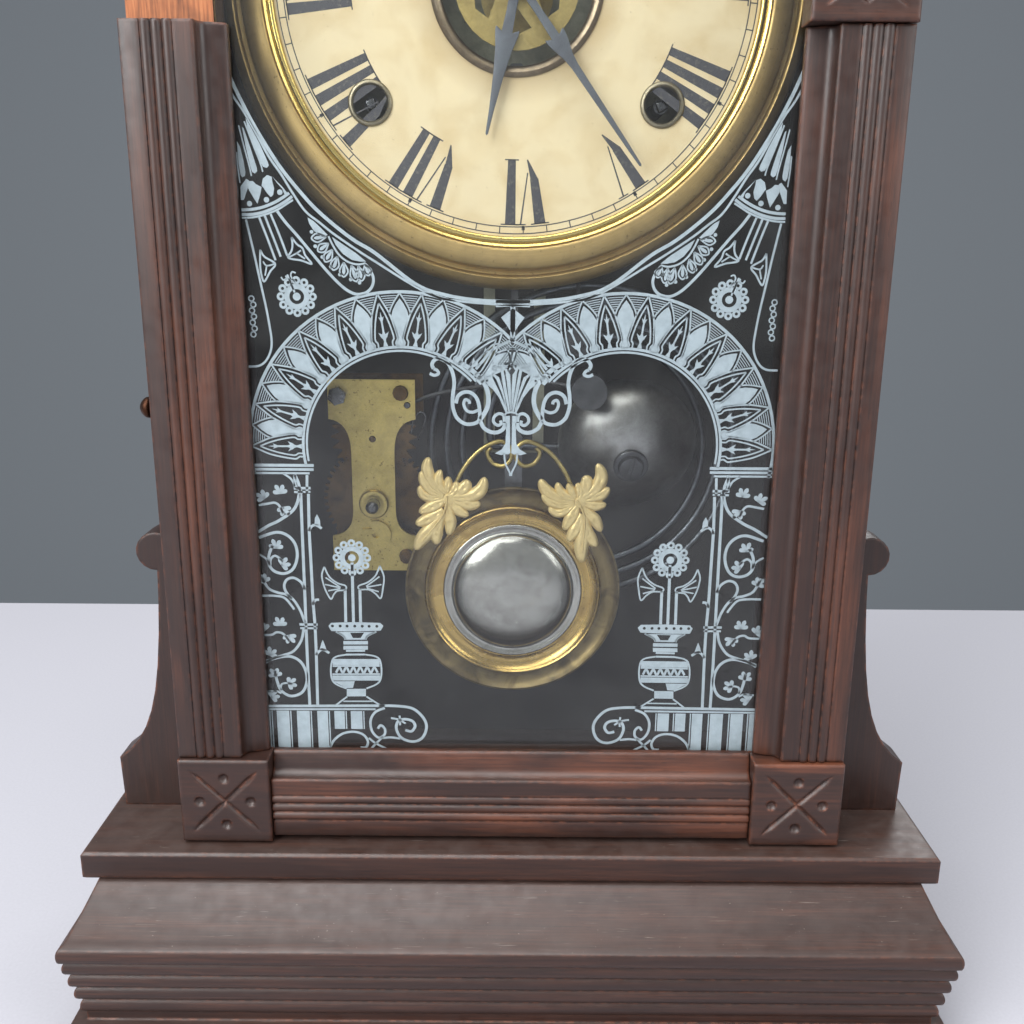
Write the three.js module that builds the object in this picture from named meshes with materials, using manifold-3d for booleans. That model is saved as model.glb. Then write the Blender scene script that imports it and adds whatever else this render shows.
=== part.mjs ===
// Parlour shelf clock with alarm: a walnut case on a reeded base, a full glazed door framed in reeded
// mouldings with square corner blocks, an open-centre dial in a brass bezel, a pendulum, a coil gong,
// a bell and a small alarm movement in the bottom of the case.
// Millimetres. +X right, +Y away from the viewer, +Z up. The origin is the middle of the footprint.
import * as THREE from "three";
import { mergeVertices } from "three/addons/utils/BufferGeometryUtils.js";
import Module from "manifold-3d";

const wasm = await Module();
wasm.setup();

// ---------------------------------------------------------------- driving dimensions
// Whole clock
const baseWidth = 305.4; // over the nosing of the base
const baseDepth = 125; // nosing to back board
const baseHeight = 66; // floor to the top of the plinth board
const gap = 0.3; // between pieces that meet but don't touch
// Base and plinth board
const noseAhead = 31.2; // nosing ahead of the door mouldings
const plinthThick = 10.2;
const plinthWidth = 302.2;
const plinthAhead = 8.1; // plinth board ahead of the door mouldings
const plinthEdge = 0.8; // broken edge of the plinth board
const shoulderTopWidth = 291;
const shoulderTopAhead = 5.5;
const shoulderDrop = 12;
const nosingHeight = 5.6;
const apronReeds = 4;
const apronReedPitch = 5.8;
const apronReedStep = 1.1; // each reed steps in by this
const apronGroove = 1.5;
const footHeight = 11;
const baseWall = 12;
// Door
const doorHalfWidth = 116.7;
const dialAboveSlab = 287; // dial centre above the plinth board
const blockSize = 31.7;
const blockProud = 1.6;
const doorFloorGap = 1;
const railRaise = 1.2; // bottom rail above the corner blocks' lower edge
const mouldingWidth = 30.5;
const mouldingThick = 9;
const reedPitch = 3.25;
const reedCount = 3;
const reedStart = 6.2;
const reedSunk = 0.6; // flats lie this far behind the reed tops
const coveStart = 22.2;
const coveWidth = 3;
const lipDepth = 5;
const lipFall = 1.5;
const coreThick = 12;
const coreOpening = 90.6; // half width of the opening in the core frame
const glassThick = 2;
const doorCaseGap = 2;
const hingeHeights = [60, 250]; // above the plinth board
const hingeLength = 34;
const hingeLeafWidth = 21;
const hingeLeafThick = 0.8;
const hingeBarrel = 1.9;
const hingePinRadius = 0.9;
const pinClearance = 0.3;
const knobHeight = 155;
const knobRadius = 3.6;
const knobReach = 6.4;
// Case
const caseHalfWidth = 113;
const sideThick = 9;
const backThick = 5;
const wingFront = 24.4; // behind the door mouldings
const wingThick = 12;
const wingFootReach = 34.2;
const wingWaistReach = 14.6;
const wingBumpRadius = 7;
const wingBumpHeight = 101;
const wingFootTop = 20;
const wingWaistHeight = 84;
const capThick = 9;
const capOverhang = 7;
const crestHeight = 58;
const crestThick = 11;
const crestHead = 22; // radius of the round head, and of its turned boss's place
const crestShoulder = 54; // half width of the crest's foot
const crestFoot = 14;
const crestEar = 12; // radius of the ears on the shoulders
// Dial and hands
const dialFace = 29; // behind the door mouldings
const dialThick = 0.8;
const dialRadius = 86;
const trackRadius = 76.2;
const bezelRadius = 94.5;
const centreHole = 27;
const ringWidth = 2.6;
const dialFeet = [[22, 42], [38, -54]]; // across and up from the dial centre, on both sides
const dialFootRadius = 2;
const windingX = 47.1;
const windingDrop = 35.5;
const grommetHole = 5.5;
const grommetRim = 1.7;
const minuteLength = 68;
const hourLength = 46.4;
const minuteAngle = 143.5; // clockwise from twelve
const hourAngle = 191.9;
const handThick = 0.8;
const minuteFront = 23.2;
const hourFront = 25.4;
const alarmDiscFront = 27.6;
const alarmDiscRadius = 19.8;
const arborRadius = 1.5;
const pipeWall = 0.9;
const runClearance = 0.3;
// Movement
const plateFront = 51;
const plateGap = 28;
const plateThick = 1.5;
const plateHalfWidth = 74;
const plateAbove = 50;
const plateBelow = 62;
const windingArborRadius = 2.4;
const greatWheelRadius = 26;
const greatWheelTeeth = 48;
const mainspringRadius = 21;
const pillarRadius = 3;
const pillarPlaces = [[18, -51], [60, 2]]; // across and up from the dial centre, on both sides
// Pendulum
const pendulumPlane = 44;
const suspensionBelowDial = 25;
const bobHeight = 80.7; // above the plinth board
const bobRadius = 40.6;
const bobRingRadius = 33.8;
const bobRingInner = 26.5;
const domeRadius = 21.9;
const rodWidth = 6.4;
const rodThick = 1;
const yokeWire = 0.95;
const curlRadius = 4.6;
const leafAhead = 4.8; // leaf fronts ahead of the pendulum's plane
const leafThick = 1;
const leafAcross = 24;
const leafLeftRise = 37; // stems above the middle of the bob
const leafRightRise = 35.9;
const leafTurn = 35.6; // degrees, the right leaf against the left one
// Coil gong, bell and hammers
const gongX = 29.1;
const gongHeight = 128.9;
const gongInner = 43.5;
const gongPitch = 6.2;
const gongTurns = 3.5;
const gongWire = 1.5;
const gongPlane = 80;
const gongBlockRadius = 8;
const bellX = 44.2;
const bellHeight = 133;
const bellRadius = 27;
const bellDepth = 19;
const bellWall = 1.1;
const bellTilt = 18; // degrees, mouth tipped up
const bellMouth = 72;
const strikeHammerX = 24;
const strikeHammerDrop = 172;
const strikePivotHeight = 219;
const strikeHammerPlane = 71;
const alarmHammerX = 27.5;
const alarmHammerHeight = 155.5;
const alarmHammerPlane = 50.5;
const hammerHeadRadius = 6.6;
const hammerWire = 0.8;
// Alarm movement
const alarmX = -53.5;
const alarmTop = 158.3;
const alarmBottom = 83.5;
const alarmHalfWidth = 16.4;
const alarmWaist = 8.2;
const alarmFront = 58;
const alarmGap = 17;
const alarmPlateThick = 1.2;
const alarmModule = 0.84;
const alarmMainTeeth = 48;
const alarmPinionTeeth = 12;
const alarmEscapeTeeth = 24;
const alarmEscapeRadius = 16.5;
const alarmArborHeight = 110.5;
const vergeAcross = 13.4; // the hammer's verge, from the middle of the alarm plates
const vergeBelowTop = 9.6;
const vergeRadius = 1;

// ---------------------------------------------------------------- planes that follow
const yDoor = -baseDepth / 2 + noseAhead; // front plane of the door mouldings
const yBack = baseDepth / 2;
const zSlab = baseHeight;
const zDial = zSlab + dialAboveSlab;
const yCore = yDoor + mouldingThick;
const yDoorBack = yCore + coreThick;
const yCaseFront = yDoorBack + doorCaseGap;
const yBoard = yBack - backThick; // inner face of the back board
const octant = Math.tan(Math.PI / 8);

// ---------------------------------------------------------------- finishes
const finish = (color, roughness, metalness = 0) =>
  new THREE.MeshStandardMaterial({ color, roughness, metalness });
const walnut = finish(0x5a3028, 0.45);
const walnutDark = finish(0x43261f, 0.55);
const brass = finish(0xb4965a, 0.35, 1);
const brassDull = finish(0x8f7646, 0.5, 1);
const gilt = finish(0xd8b96a, 0.4, 1);
const steel = finish(0x6d6f72, 0.4, 1);
const nickel = finish(0xa8a9a8, 0.25, 1);
const blued = finish(0x5f656b, 0.5, 1);
const paper = finish(0xecdcb0, 0.8);
const clear = finish(0xdfe7ea, 0.05);

// ---------------------------------------------------------------- solids
const clock = new THREE.Group();

// One closed geometry with its faces out: merged corners, no needle faces, turned if inside out.
function closed(source) {
  const bare = source.index ? source.toNonIndexed() : source.clone();
  bare.deleteAttribute("normal");
  bare.deleteAttribute("uv");
  const merged = mergeVertices(bare, 1e-4);
  const corner = merged.index.array;
  const p = merged.getAttribute("position");
  const kept = [];
  let volume = 0;
  const [a, b, c] = [new THREE.Vector3(), new THREE.Vector3(), new THREE.Vector3()];
  for (let i = 0; i < corner.length; i += 3) {
    const [u, v, w] = [corner[i], corner[i + 1], corner[i + 2]];
    if (u === v || v === w || w === u) continue;
    kept.push(u, v, w);
    a.fromBufferAttribute(p, u);
    b.fromBufferAttribute(p, v);
    c.fromBufferAttribute(p, w);
    volume += a.dot(b.cross(c));
  }
  if (volume < 0) kept.reverse();
  merged.setIndex(kept);
  return merged;
}

function toSolid(geometry) {
  const g = closed(geometry);
  return new wasm.Manifold(
    new wasm.Mesh({
      numProp: 3,
      vertProperties: new Float32Array(g.getAttribute("position").array),
      triVerts: new Uint32Array(g.index.array),
    }),
  );
}

function fromSolid(solid) {
  const mesh = solid.getMesh();
  const g = new THREE.BufferGeometry();
  g.setAttribute("position", new THREE.BufferAttribute(new Float32Array(mesh.vertProperties), 3));
  g.setIndex(Array.from(mesh.triVerts));
  return g;
}

const join = (...parts) => fromSolid(parts.map(toSolid).reduce((whole, part) => whole.add(part)));
const cut = (body, ...tools) =>
  fromSolid(tools.map(toSolid).reduce((rest, tool) => rest.subtract(tool), toSolid(body)));

// Places a named piece in the clock, or in a group of it.
function piece(name, geometry, material, parent = clock) {
  const mesh = new THREE.Mesh(closed(geometry), material);
  mesh.name = name;
  parent.add(mesh);
  return mesh;
}

// A box from its low corner to its high corner.
function block(x0, x1, y0, y1, z0, z1) {
  const g = new THREE.BoxGeometry(x1 - x0, y1 - y0, z1 - z0);
  return g.translate((x0 + x1) / 2, (y0 + y1) / 2, (z0 + z1) / 2);
}

// A plate whose outline is drawn as seen from the front, in X and Z, from y0 back to y1.
function plate(shape, y0, y1, curveSegments = 8) {
  const g = new THREE.ExtrudeGeometry(shape, { depth: y1 - y0, bevelEnabled: false, curveSegments });
  return g.rotateX(Math.PI / 2).translate(0, y1, 0);
}

// A turned piece about the Y axis through (x, z), from points of radius and depth.
function turned(points, segments, x = 0, z = 0) {
  const profile = points.map(([r, y]) => new THREE.Vector2(r, y));
  return new THREE.LatheGeometry(profile, segments).translate(x, 0, z);
}

// A plain turned rod or disc along Y.
const disc = (r, y0, y1, x = 0, z = 0, segments = 20) =>
  turned([[0, y0], [r, y0], [r, y1], [0, y1]], segments, x, z);

// A washer or tube along Y.
const tubeY = (bore, r, y0, y1, x = 0, z = 0, segments = 24) =>
  turned([[bore, y0], [r, y0], [r, y1], [bore, y1], [bore, y0]], segments, x, z);

// A round wire along a curve.
function wire(curve, radius, steps, sides = 6) {
  const section = new THREE.Shape();
  section.absarc(0, 0, radius, 0, Math.PI * 2);
  return new THREE.ExtrudeGeometry(section, {
    extrudePath: curve,
    steps,
    curveSegments: sides / 2,
    bevelEnabled: false,
  });
}

const v3 = (x, y, z) => new THREE.Vector3(x, y, z);
const circleHole = (x, z, r) => new THREE.Path().absarc(x, z, r, 0, Math.PI * 2, true);

// A straight-sided outline, always drawn counter-clockwise so that holes can be cut in it.
function polygon(points) {
  const corners = points.map(([x, z]) => new THREE.Vector2(x, z));
  return new THREE.Shape(THREE.ShapeUtils.isClockWise(corners) ? corners.reverse() : corners);
}

// A box with a moulded edge: rings from the bottom up, each with its height, half width and front.
function moulded(rings, back) {
  const corners = [];
  for (const [z, halfWidth, front] of rings) {
    corners.push([-halfWidth, front, z], [halfWidth, front, z], [halfWidth, back, z], [-halfWidth, back, z]);
  }
  const faces = [0, 2, 1, 0, 3, 2];
  const last = corners.length - 4;
  faces.push(last, last + 1, last + 2, last, last + 2, last + 3);
  for (let ring = 0; ring < last; ring += 4) {
    for (let side = 0; side < 4; side++) {
      const [a, b] = [ring + side, ring + ((side + 1) % 4)];
      faces.push(a, b, b + 4, a, b + 4, a + 4);
    }
  }
  const g = new THREE.BufferGeometry();
  g.setAttribute("position", new THREE.BufferAttribute(new Float32Array(corners.flat()), 3));
  g.setIndex(faces);
  return g;
}

// ---------------------------------------------------------------- base and plinth board
function makeBase() {
  const half = baseWidth / 2;
  const top = zSlab - plinthThick;
  const nosingTop = top - shoulderDrop;
  const nosingBottom = nosingTop - nosingHeight;
  const front = (ahead) => yDoor - ahead;
  const rings = [];
  // Foot band, then the reeds from the lowest up, each stepping out.
  rings.push([0, half, front(noseAhead)], [footHeight - 1, half, front(noseAhead)]);
  const stepIn = (reed) => (reed + 1) * apronReedStep;
  const reedBottom = nosingBottom - apronReeds * apronReedPitch;
  rings.push([footHeight, half - 1, front(noseAhead - 1)]);
  const neck = stepIn(apronReeds - 1) + apronGroove;
  rings.push([footHeight + 1, half - neck, front(noseAhead - neck)]);
  rings.push([reedBottom, half - neck, front(noseAhead - neck)]);
  for (let reed = apronReeds - 1; reed >= 0; reed--) {
    const low = nosingBottom - (reed + 1) * apronReedPitch;
    const reach = stepIn(reed);
    const reedProfile = [[0.14, apronGroove], [0.24, 0.45], [0.42, 0], [0.76, 0], [0.94, 0.45], [1, 1]];
    for (const [share, sunk] of reedProfile) {
      const inset = reach + sunk;
      rings.push([low + share * apronReedPitch, half - inset, front(noseAhead - inset)]);
    }
  }
  rings.push([nosingBottom + 0.3, half - 0.3, front(noseAhead - 0.3)]);
  rings.push([nosingBottom + 0.6, half, front(noseAhead)]);
  rings.push([nosingTop - 0.7, half, front(noseAhead)], [nosingTop, half - 0.7, front(noseAhead - 0.7)]);
  // The hollowed shoulder climbs to the plinth board.
  const shoulderSteps = 6;
  for (let step = 1; step <= shoulderSteps; step++) {
    const t = step / shoulderSteps;
    const climb = 0.75 * t + 0.25 * (1 - Math.cos((t * Math.PI) / 2));
    const width = THREE.MathUtils.lerp(half - 1.6, shoulderTopWidth / 2, t);
    const ahead = THREE.MathUtils.lerp(noseAhead - 1.6, shoulderTopAhead, t);
    rings.push([nosingTop + climb * shoulderDrop, width, front(ahead)]);
  }
  const hollow = block(
    -shoulderTopWidth / 2 + baseWall, shoulderTopWidth / 2 - baseWall,
    yDoor + baseWall / 2, yBack - baseWall, -1, top - baseWall,
  );
  piece("base_box", cut(moulded(rings, yBack), hollow), walnut);

  const e = plinthEdge;
  const [w, f] = [plinthWidth / 2, yDoor - plinthAhead];
  piece("plinth_board", moulded([
    [top, w - e, f + e], [top + e, w, f], [zSlab - e, w, f], [zSlab, w - e, f + e],
  ], yBack), walnut);
}

// ---------------------------------------------------------------- case
// Half of an eight-sided head about the dial centre: corners of the outline at this apothem.
const headCorners = (apothem) => [
  [apothem, zDial + apothem * octant],
  [apothem * octant, zDial + apothem],
  [-apothem * octant, zDial + apothem],
  [-apothem, zDial + apothem * octant],
];

function makeCase() {
  const outer = caseHalfWidth;
  const inner = caseHalfWidth - sideThick;
  const [o, i] = [headCorners(outer), headCorners(inner)];
  const board = (points) => plate(polygon(points), yCaseFront, yBack);
  // Side boards end in the mitre of the head.
  const right = [[inner, zSlab], [outer, zSlab], [outer, o[0][1] - gap], [inner, i[0][1] - gap]];
  piece("side_right", board(right), walnut);
  piece("side_left", board(right.map(([x, z]) => [-x, z])), walnut);
  const slope = [[o[0][0], o[0][1]], [o[1][0], o[1][1] - gap], [i[1][0], i[1][1] - gap], [i[0][0], i[0][1]]];
  piece("roof_right", board(slope), walnut);
  piece("roof_left", board(slope.map(([x, z]) => [-x, z])), walnut);
  // Cap board: the flat of the head, its ends mitred to the canted boards.
  const capTop = zDial + outer + capThick;
  const capHalf = outer * octant + capOverhang;
  const cap = join(
    plate(polygon([o[1], o[2], i[2], i[1]]), yCaseFront, yBack),
    block(-capHalf, capHalf, yDoor - capOverhang / 2, yBack, zDial + outer - 0.1, capTop),
  );
  // The cap board stands clear of the canted boards and of the door head.
  const clearOfDoor = block(-200, 200, yDoor - 20, yCaseFront - gap, 0, zDial + doorHalfWidth + 1);
  piece("cap_board", cut(cap, clearOfDoor), walnut);
  // Back board, let in between the sides.
  const b = inner - gap;
  const corners = headCorners(b);
  piece("back_board", plate(polygon([[-b, zSlab], [b, zSlab], ...corners]), yBoard, yBack), walnutDark);
  makeWing("wing_right", 1);
  makeWing("wing_left", -1);
  makeCrest(capTop);
}

// Side bracket behind the door: a flared foot, a hollow waist and a round bump at the top.
function makeWing(name, side) {
  const x = (reach) => side * (caseHalfWidth + reach);
  const z = (height) => zSlab + height;
  const shape = new THREE.Shape();
  shape.moveTo(x(0), z(0));
  shape.lineTo(x(wingFootReach - 0.6), z(0));
  shape.lineTo(x(wingFootReach), z(wingFootTop));
  shape.bezierCurveTo(
    x(wingFootReach - 12), z(wingFootTop + 8), x(wingWaistReach + 2.5), z(wingFootTop + 22),
    x(wingWaistReach), z(wingWaistHeight),
  );
  shape.lineTo(x(wingWaistReach - 0.4), z(wingBumpHeight - wingBumpRadius));
  const steps = 10;
  for (let step = 1; step <= steps; step++) {
    const angle = THREE.MathUtils.degToRad(-90 + (step / steps) * 200);
    shape.lineTo(
      x(wingWaistReach - 0.4 + wingBumpRadius * Math.cos(angle)),
      z(wingBumpHeight + wingBumpRadius * Math.sin(angle)),
    );
  }
  shape.lineTo(x(0), z(wingBumpHeight + wingBumpRadius * 2));
  piece(name, plate(shape, yDoor + wingFront, yDoor + wingFront + wingThick), walnut);
}

function makeCrest(capTop) {
  const shape = new THREE.Shape();
  const [ear, earTop] = [crestShoulder - crestEar, capTop + crestFoot + crestEar];
  shape.moveTo(-crestShoulder, capTop);
  shape.lineTo(crestShoulder, capTop);
  shape.lineTo(crestShoulder, capTop + crestFoot);
  shape.absarc(ear, earTop, crestEar, 0, Math.PI * 0.75, false);
  shape.quadraticCurveTo(27, capTop + 22, crestHead, capTop + 38);
  shape.absarc(0, capTop + crestHeight - crestHead, crestHead, 0.25, Math.PI - 0.25, false);
  shape.quadraticCurveTo(-27, capTop + 22, -ear + crestEar * 0.7, earTop + crestEar * 0.7);
  shape.absarc(-ear, earTop, crestEar, Math.PI * 0.25, Math.PI, false);
  shape.lineTo(-crestShoulder, capTop + crestFoot);
  const y = yDoor + 2;
  const boss = turned([
    [0, y - 2.6], [2.8, y - 2.4], [3.4, y - 1], [8.4, y - 2], [10.8, y - 1], [11, y + 1], [0, y + 1],
  ], 24, 0, capTop + crestHeight - crestHead);
  piece("crest_board", join(plate(shape, y, y + crestThick, 6), boss), walnut);
}

// ---------------------------------------------------------------- door
// Section of the reeded moulding: across from the outer edge, and back from the front plane.
function mouldingSection() {
  const s = new THREE.Shape();
  const reed = reedPitch / 2;
  s.moveTo(0, mouldingThick);
  s.lineTo(0, reedSunk);
  s.lineTo(reedStart, reedSunk);
  for (let n = 0; n < reedCount; n++) {
    const centre = reedStart + reed + n * reedPitch;
    s.absellipse(centre, reedSunk + 0.6, reed - 0.12, reedSunk + 0.6, Math.PI, 2 * Math.PI, false);
  }
  const afterReeds = reedStart + reedCount * reedPitch;
  s.lineTo(afterReeds, reedSunk);
  s.lineTo(coveStart, reedSunk);
  s.quadraticCurveTo(coveStart + 0.4, lipDepth, coveStart + coveWidth, lipDepth);
  s.lineTo(mouldingWidth, lipDepth + lipFall);
  s.lineTo(mouldingWidth, mouldingThick);
  return s;
}

// A length of moulding standing on the right of the door, its outer edge at x = edge.
// A mitred end follows the line from the dial centre, so it meets the next length of the head.
function mouldingLength(edge, z0, z1, mitreLow, mitreHigh) {
  const g = new THREE.ExtrudeGeometry(mouldingSection(), {
    depth: z1 - z0, bevelEnabled: false, curveSegments: 3,
  });
  const p = g.getAttribute("position");
  for (let n = 0; n < p.count; n++) {
    const [across, back, along] = [p.getX(n), p.getY(n), p.getZ(n)];
    const high = along > (z1 - z0) / 2;
    let z = z0 + along;
    if (high && mitreHigh) z -= across * octant;
    if (!high && mitreLow) z += across * octant;
    p.setXYZ(n, edge - across, back, z);
  }
  return g;
}

function makeDoor() {
  const bottom = zSlab + doorFloorGap;
  const blockTop = bottom + blockSize;
  const upperLow = zDial - blockSize / 2;
  const upperHigh = zDial + blockSize / 2;
  const a = doorHalfWidth;
  const corner = a * octant - gap / 2;
  // Everything in this group is placed from the dial centre, so its lengths turn about it.
  const about = new THREE.Group();
  about.position.set(0, yDoor, zDial);
  clock.add(about);
  const turn = (mesh, degrees) => {
    mesh.rotation.y = THREE.MathUtils.degToRad(degrees);
    return mesh;
  };
  const stileLow = blockTop + gap - zDial;
  const stileHigh = -blockSize / 2 - gap;
  piece("stile_right", mouldingLength(a, stileLow, stileHigh, false, false), walnut, about);
  // The left lengths are the same moulding turned half round, so their ends change places.
  turn(piece("stile_left", mouldingLength(a, -stileHigh, -stileLow, false, false), walnut, about), 180);
  // Each side of the head is a short upright and a canted length, glued at the mitre.
  const short = mouldingLength(a, blockSize / 2 + gap, a * octant, false, true);
  const canted = mouldingLength(a, -a * octant, corner, true, true).rotateY(-Math.PI / 4);
  const rightHead = join(short, canted);
  piece("head_right", rightHead, walnut, about);
  piece("head_left", rightHead.clone().scale(-1, 1, 1), walnut, about);
  turn(piece("head_top", mouldingLength(a, -corner, corner, true, true), walnut, about), -90);
  const railHalf = a - blockSize - gap;
  const rail = mouldingLength(zDial - bottom - railRaise, -railHalf, railHalf, false, false);
  turn(piece("rail_bottom", rail, walnut, about), 90);
  // Corner blocks. The upper left one is missing, and the core frame shows bare there.
  const cornerBlock = (name, x, z) => piece(name, block(
    x, x + blockSize, yDoor - blockProud, yCore, z, z + blockSize,
  ), walnut);
  cornerBlock("block_lower_left", -a, bottom);
  cornerBlock("block_lower_right", a - blockSize, bottom);
  cornerBlock("block_upper_right", a - blockSize, upperLow);
  // Core frame behind the mouldings, and the glass in its rebate.
  const outline = (half, low) => [[-half, low], [half, low], ...headCorners(half)];
  const frame = polygon(outline(a, bottom));
  const railCore = bottom + railRaise + (a - coreOpening);
  frame.holes.push(new THREE.Path(outline(coreOpening, railCore).map(([x, z]) => new THREE.Vector2(x, z))));
  piece("door_frame", plate(frame, yCore, yDoorBack), walnutDark);
  const pane = coreOpening - gap;
  piece("glass", plate(polygon(outline(pane, railCore + gap)), yCore, yCore + glassThick), clear);
  // Side knob: a small turned stud in the left edge of the core frame.
  const knob = new THREE.LatheGeometry([
    [0, 0], [1.8, 0], [1.6, 1.6], [knobRadius, 2.6], [knobRadius, 3.6],
    [knobRadius * 0.8, knobReach - 1], [knobRadius * 0.4, knobReach - 0.15], [0, knobReach],
  ].map(([r, h]) => new THREE.Vector2(r, h)), 16);
  knob.rotateZ(Math.PI / 2).translate(-a, yCore + 1.5, zSlab + knobHeight);
  piece("door_knob", knob, brassDull);
}

// Butt hinges on the right: a leaf on the door, a leaf on the case side and a pin through both barrels.
function makeHinges() {
  const axisX = doorHalfWidth + hingeBarrel + gap;
  const axisY = (yDoorBack + yCaseFront) / 2;
  const bore = hingePinRadius + pinClearance;
  // Leaf and barrel in plan, drawn in X and Y. The leaf runs from the left into the barrel.
  const leaf = (face, sign) => {
    const inner = face + sign * hingeLeafThick;
    const reach = (y) => -Math.sqrt(hingeBarrel ** 2 - (axisY - y) ** 2);
    const from = Math.atan2(face - axisY, reach(face));
    const to = Math.atan2(inner - axisY, reach(inner));
    const full = 2 * Math.PI;
    const sweep = sign * ((sign * (to - from) + 2 * full) % full);
    const points = [[axisX - hingeLeafWidth, inner], [axisX - hingeLeafWidth, face]];
    const steps = 14;
    for (let n = 0; n <= steps; n++) {
      const angle = from + (sweep * n) / steps;
      points.push([axisX + hingeBarrel * Math.cos(angle), axisY + hingeBarrel * Math.sin(angle)]);
    }
    const s = polygon(points);
    s.holes.push(circleHole(axisX, axisY, bore));
    return s;
  };
  const up = (shape, z0, z1) => new THREE.ExtrudeGeometry(shape, {
    depth: z1 - z0, bevelEnabled: false, curveSegments: 8,
  }).translate(0, 0, z0);
  hingeHeights.forEach((height, n) => {
    const low = zSlab + height;
    const half = hingeLength / 2;
    const where = ["lower", "upper"][n];
    const doorLeaf = up(leaf(yDoorBack, 1), low + half + gap, low + hingeLength);
    piece(`hinge_door_${where}`, doorLeaf, brass);
    // The pin is driven through the case barrel and turns in the door barrel.
    const pin = new THREE.LatheGeometry([
      [0, -1.2], [hingeBarrel * 0.8, -1.2], [hingeBarrel * 0.8, 0.1], [bore + 0.1, 0.1],
      [bore + 0.1, half - 0.1], [hingePinRadius, half - 0.1], [hingePinRadius, hingeLength + gap],
      [0, hingeLength + gap],
    ].map(([r, h]) => new THREE.Vector2(r, h)), 12);
    pin.rotateX(Math.PI / 2).translate(axisX, axisY, low);
    piece(`hinge_case_${where}`, join(up(leaf(yCaseFront, -1), low, low + half), pin), brass);
  });
  // Spring catch: a bent brass leaf inside the left side board that bears on the door.
  const inner = -(caseHalfWidth - sideThick);
  const bend = polygon([
    [inner, yCaseFront + 30], [inner, yCaseFront + 4], [inner + 4, yDoorBack + gap],
    [inner + 5, yDoorBack + gap], [inner + 0.9, yCaseFront + 4.4], [inner + 0.9, yCaseFront + 30],
  ]);
  const leafSpring = new THREE.ExtrudeGeometry(bend, { depth: 12, bevelEnabled: false });
  piece("catch_spring", leafSpring.translate(0, 0, zSlab + knobHeight - 6), brass);
}

// ---------------------------------------------------------------- dial and hands
function makeDial() {
  const y = yDoor + dialFace;
  const face = new THREE.Shape();
  face.absarc(0, zDial, dialRadius, 0, Math.PI * 2);
  face.holes.push(circleHole(0, zDial, centreHole));
  for (const side of [-1, 1]) {
    face.holes.push(circleHole(side * windingX, zDial - windingDrop, grommetHole + grommetRim / 2));
  }
  // Four feet riveted in the dial plate stand on the movement's front plate.
  const feet = [-1, 1].flatMap((side) => dialFeet.map(([dx, dz]) => disc(
    dialFootRadius, y + dialThick / 2, yDoor + plateFront, side * dx, zDial + dz, 8,
  )));
  piece("dial_plate", join(plate(face, y, y + dialThick, 24), ...feet), paper);
  // Bezel: a bright inner fillet, a broad convex band, a groove and an outer rim.
  const [t, b] = [trackRadius + 0.6, bezelRadius];
  piece("bezel", turned([
    [t, y - gap], [t + 0.5, y - 1.6], [t + 1.6, y - 2], [t + 2.6, y - 1.2], [t + 4.5, y - 1.9],
    [t + 7.5, y - 0.9], [t + 10, y + 1.6], [t + 11.2, y + 3.6], [t + 15.4, y + 4.4], [b, y + 8.5],
    [b - 1.4, y + 11], [dialRadius + gap, y + 5.2], [dialRadius + gap, y - gap], [t, y - gap],
  ], 60, 0, zDial), brass);
  // Ring round the open centre, set in the hole of the dial plate.
  const r = centreHole - gap;
  piece("dial_centre_ring", turned([
    [r - ringWidth, y + 2.4], [r - ringWidth, y], [r - ringWidth / 2, y - 1.4], [r + 0.9, y - gap],
    [r, y - gap], [r, y + 2.4], [r - ringWidth, y + 2.4],
  ], 40, 0, zDial), brassDull);
  for (const [name, side] of [["winding_grommet_left", -1], ["winding_grommet_right", 1]]) {
    const g = grommetHole;
    const seat = g + grommetRim / 2 - gap;
    piece(name, turned([
      [g, y + 2], [g, y - 0.4], [g + 0.7, y - 1], [g + grommetRim, y - gap], [seat, y - gap],
      [seat, y + 2], [g, y + 2],
    ], 24, side * windingX, zDial - windingDrop), nickel);
  }
}

// Hand outline pointing up from the centre, from its right half: a stem, a barb and a long blade.
function handShape(right, hole) {
  const left = right.map(([x, z]) => [-x, z]).reverse();
  const hub = [];
  const hubRadius = hole + 2.2;
  for (let n = 0; n <= 12; n++) {
    const angle = THREE.MathUtils.degToRad(140 + (n / 12) * 260);
    hub.push([hubRadius * Math.cos(angle), hubRadius * Math.sin(angle)]);
  }
  const s = polygon([...right, ...left, ...hub]);
  s.holes.push(circleHole(0, 0, hole));
  return s;
}

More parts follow.
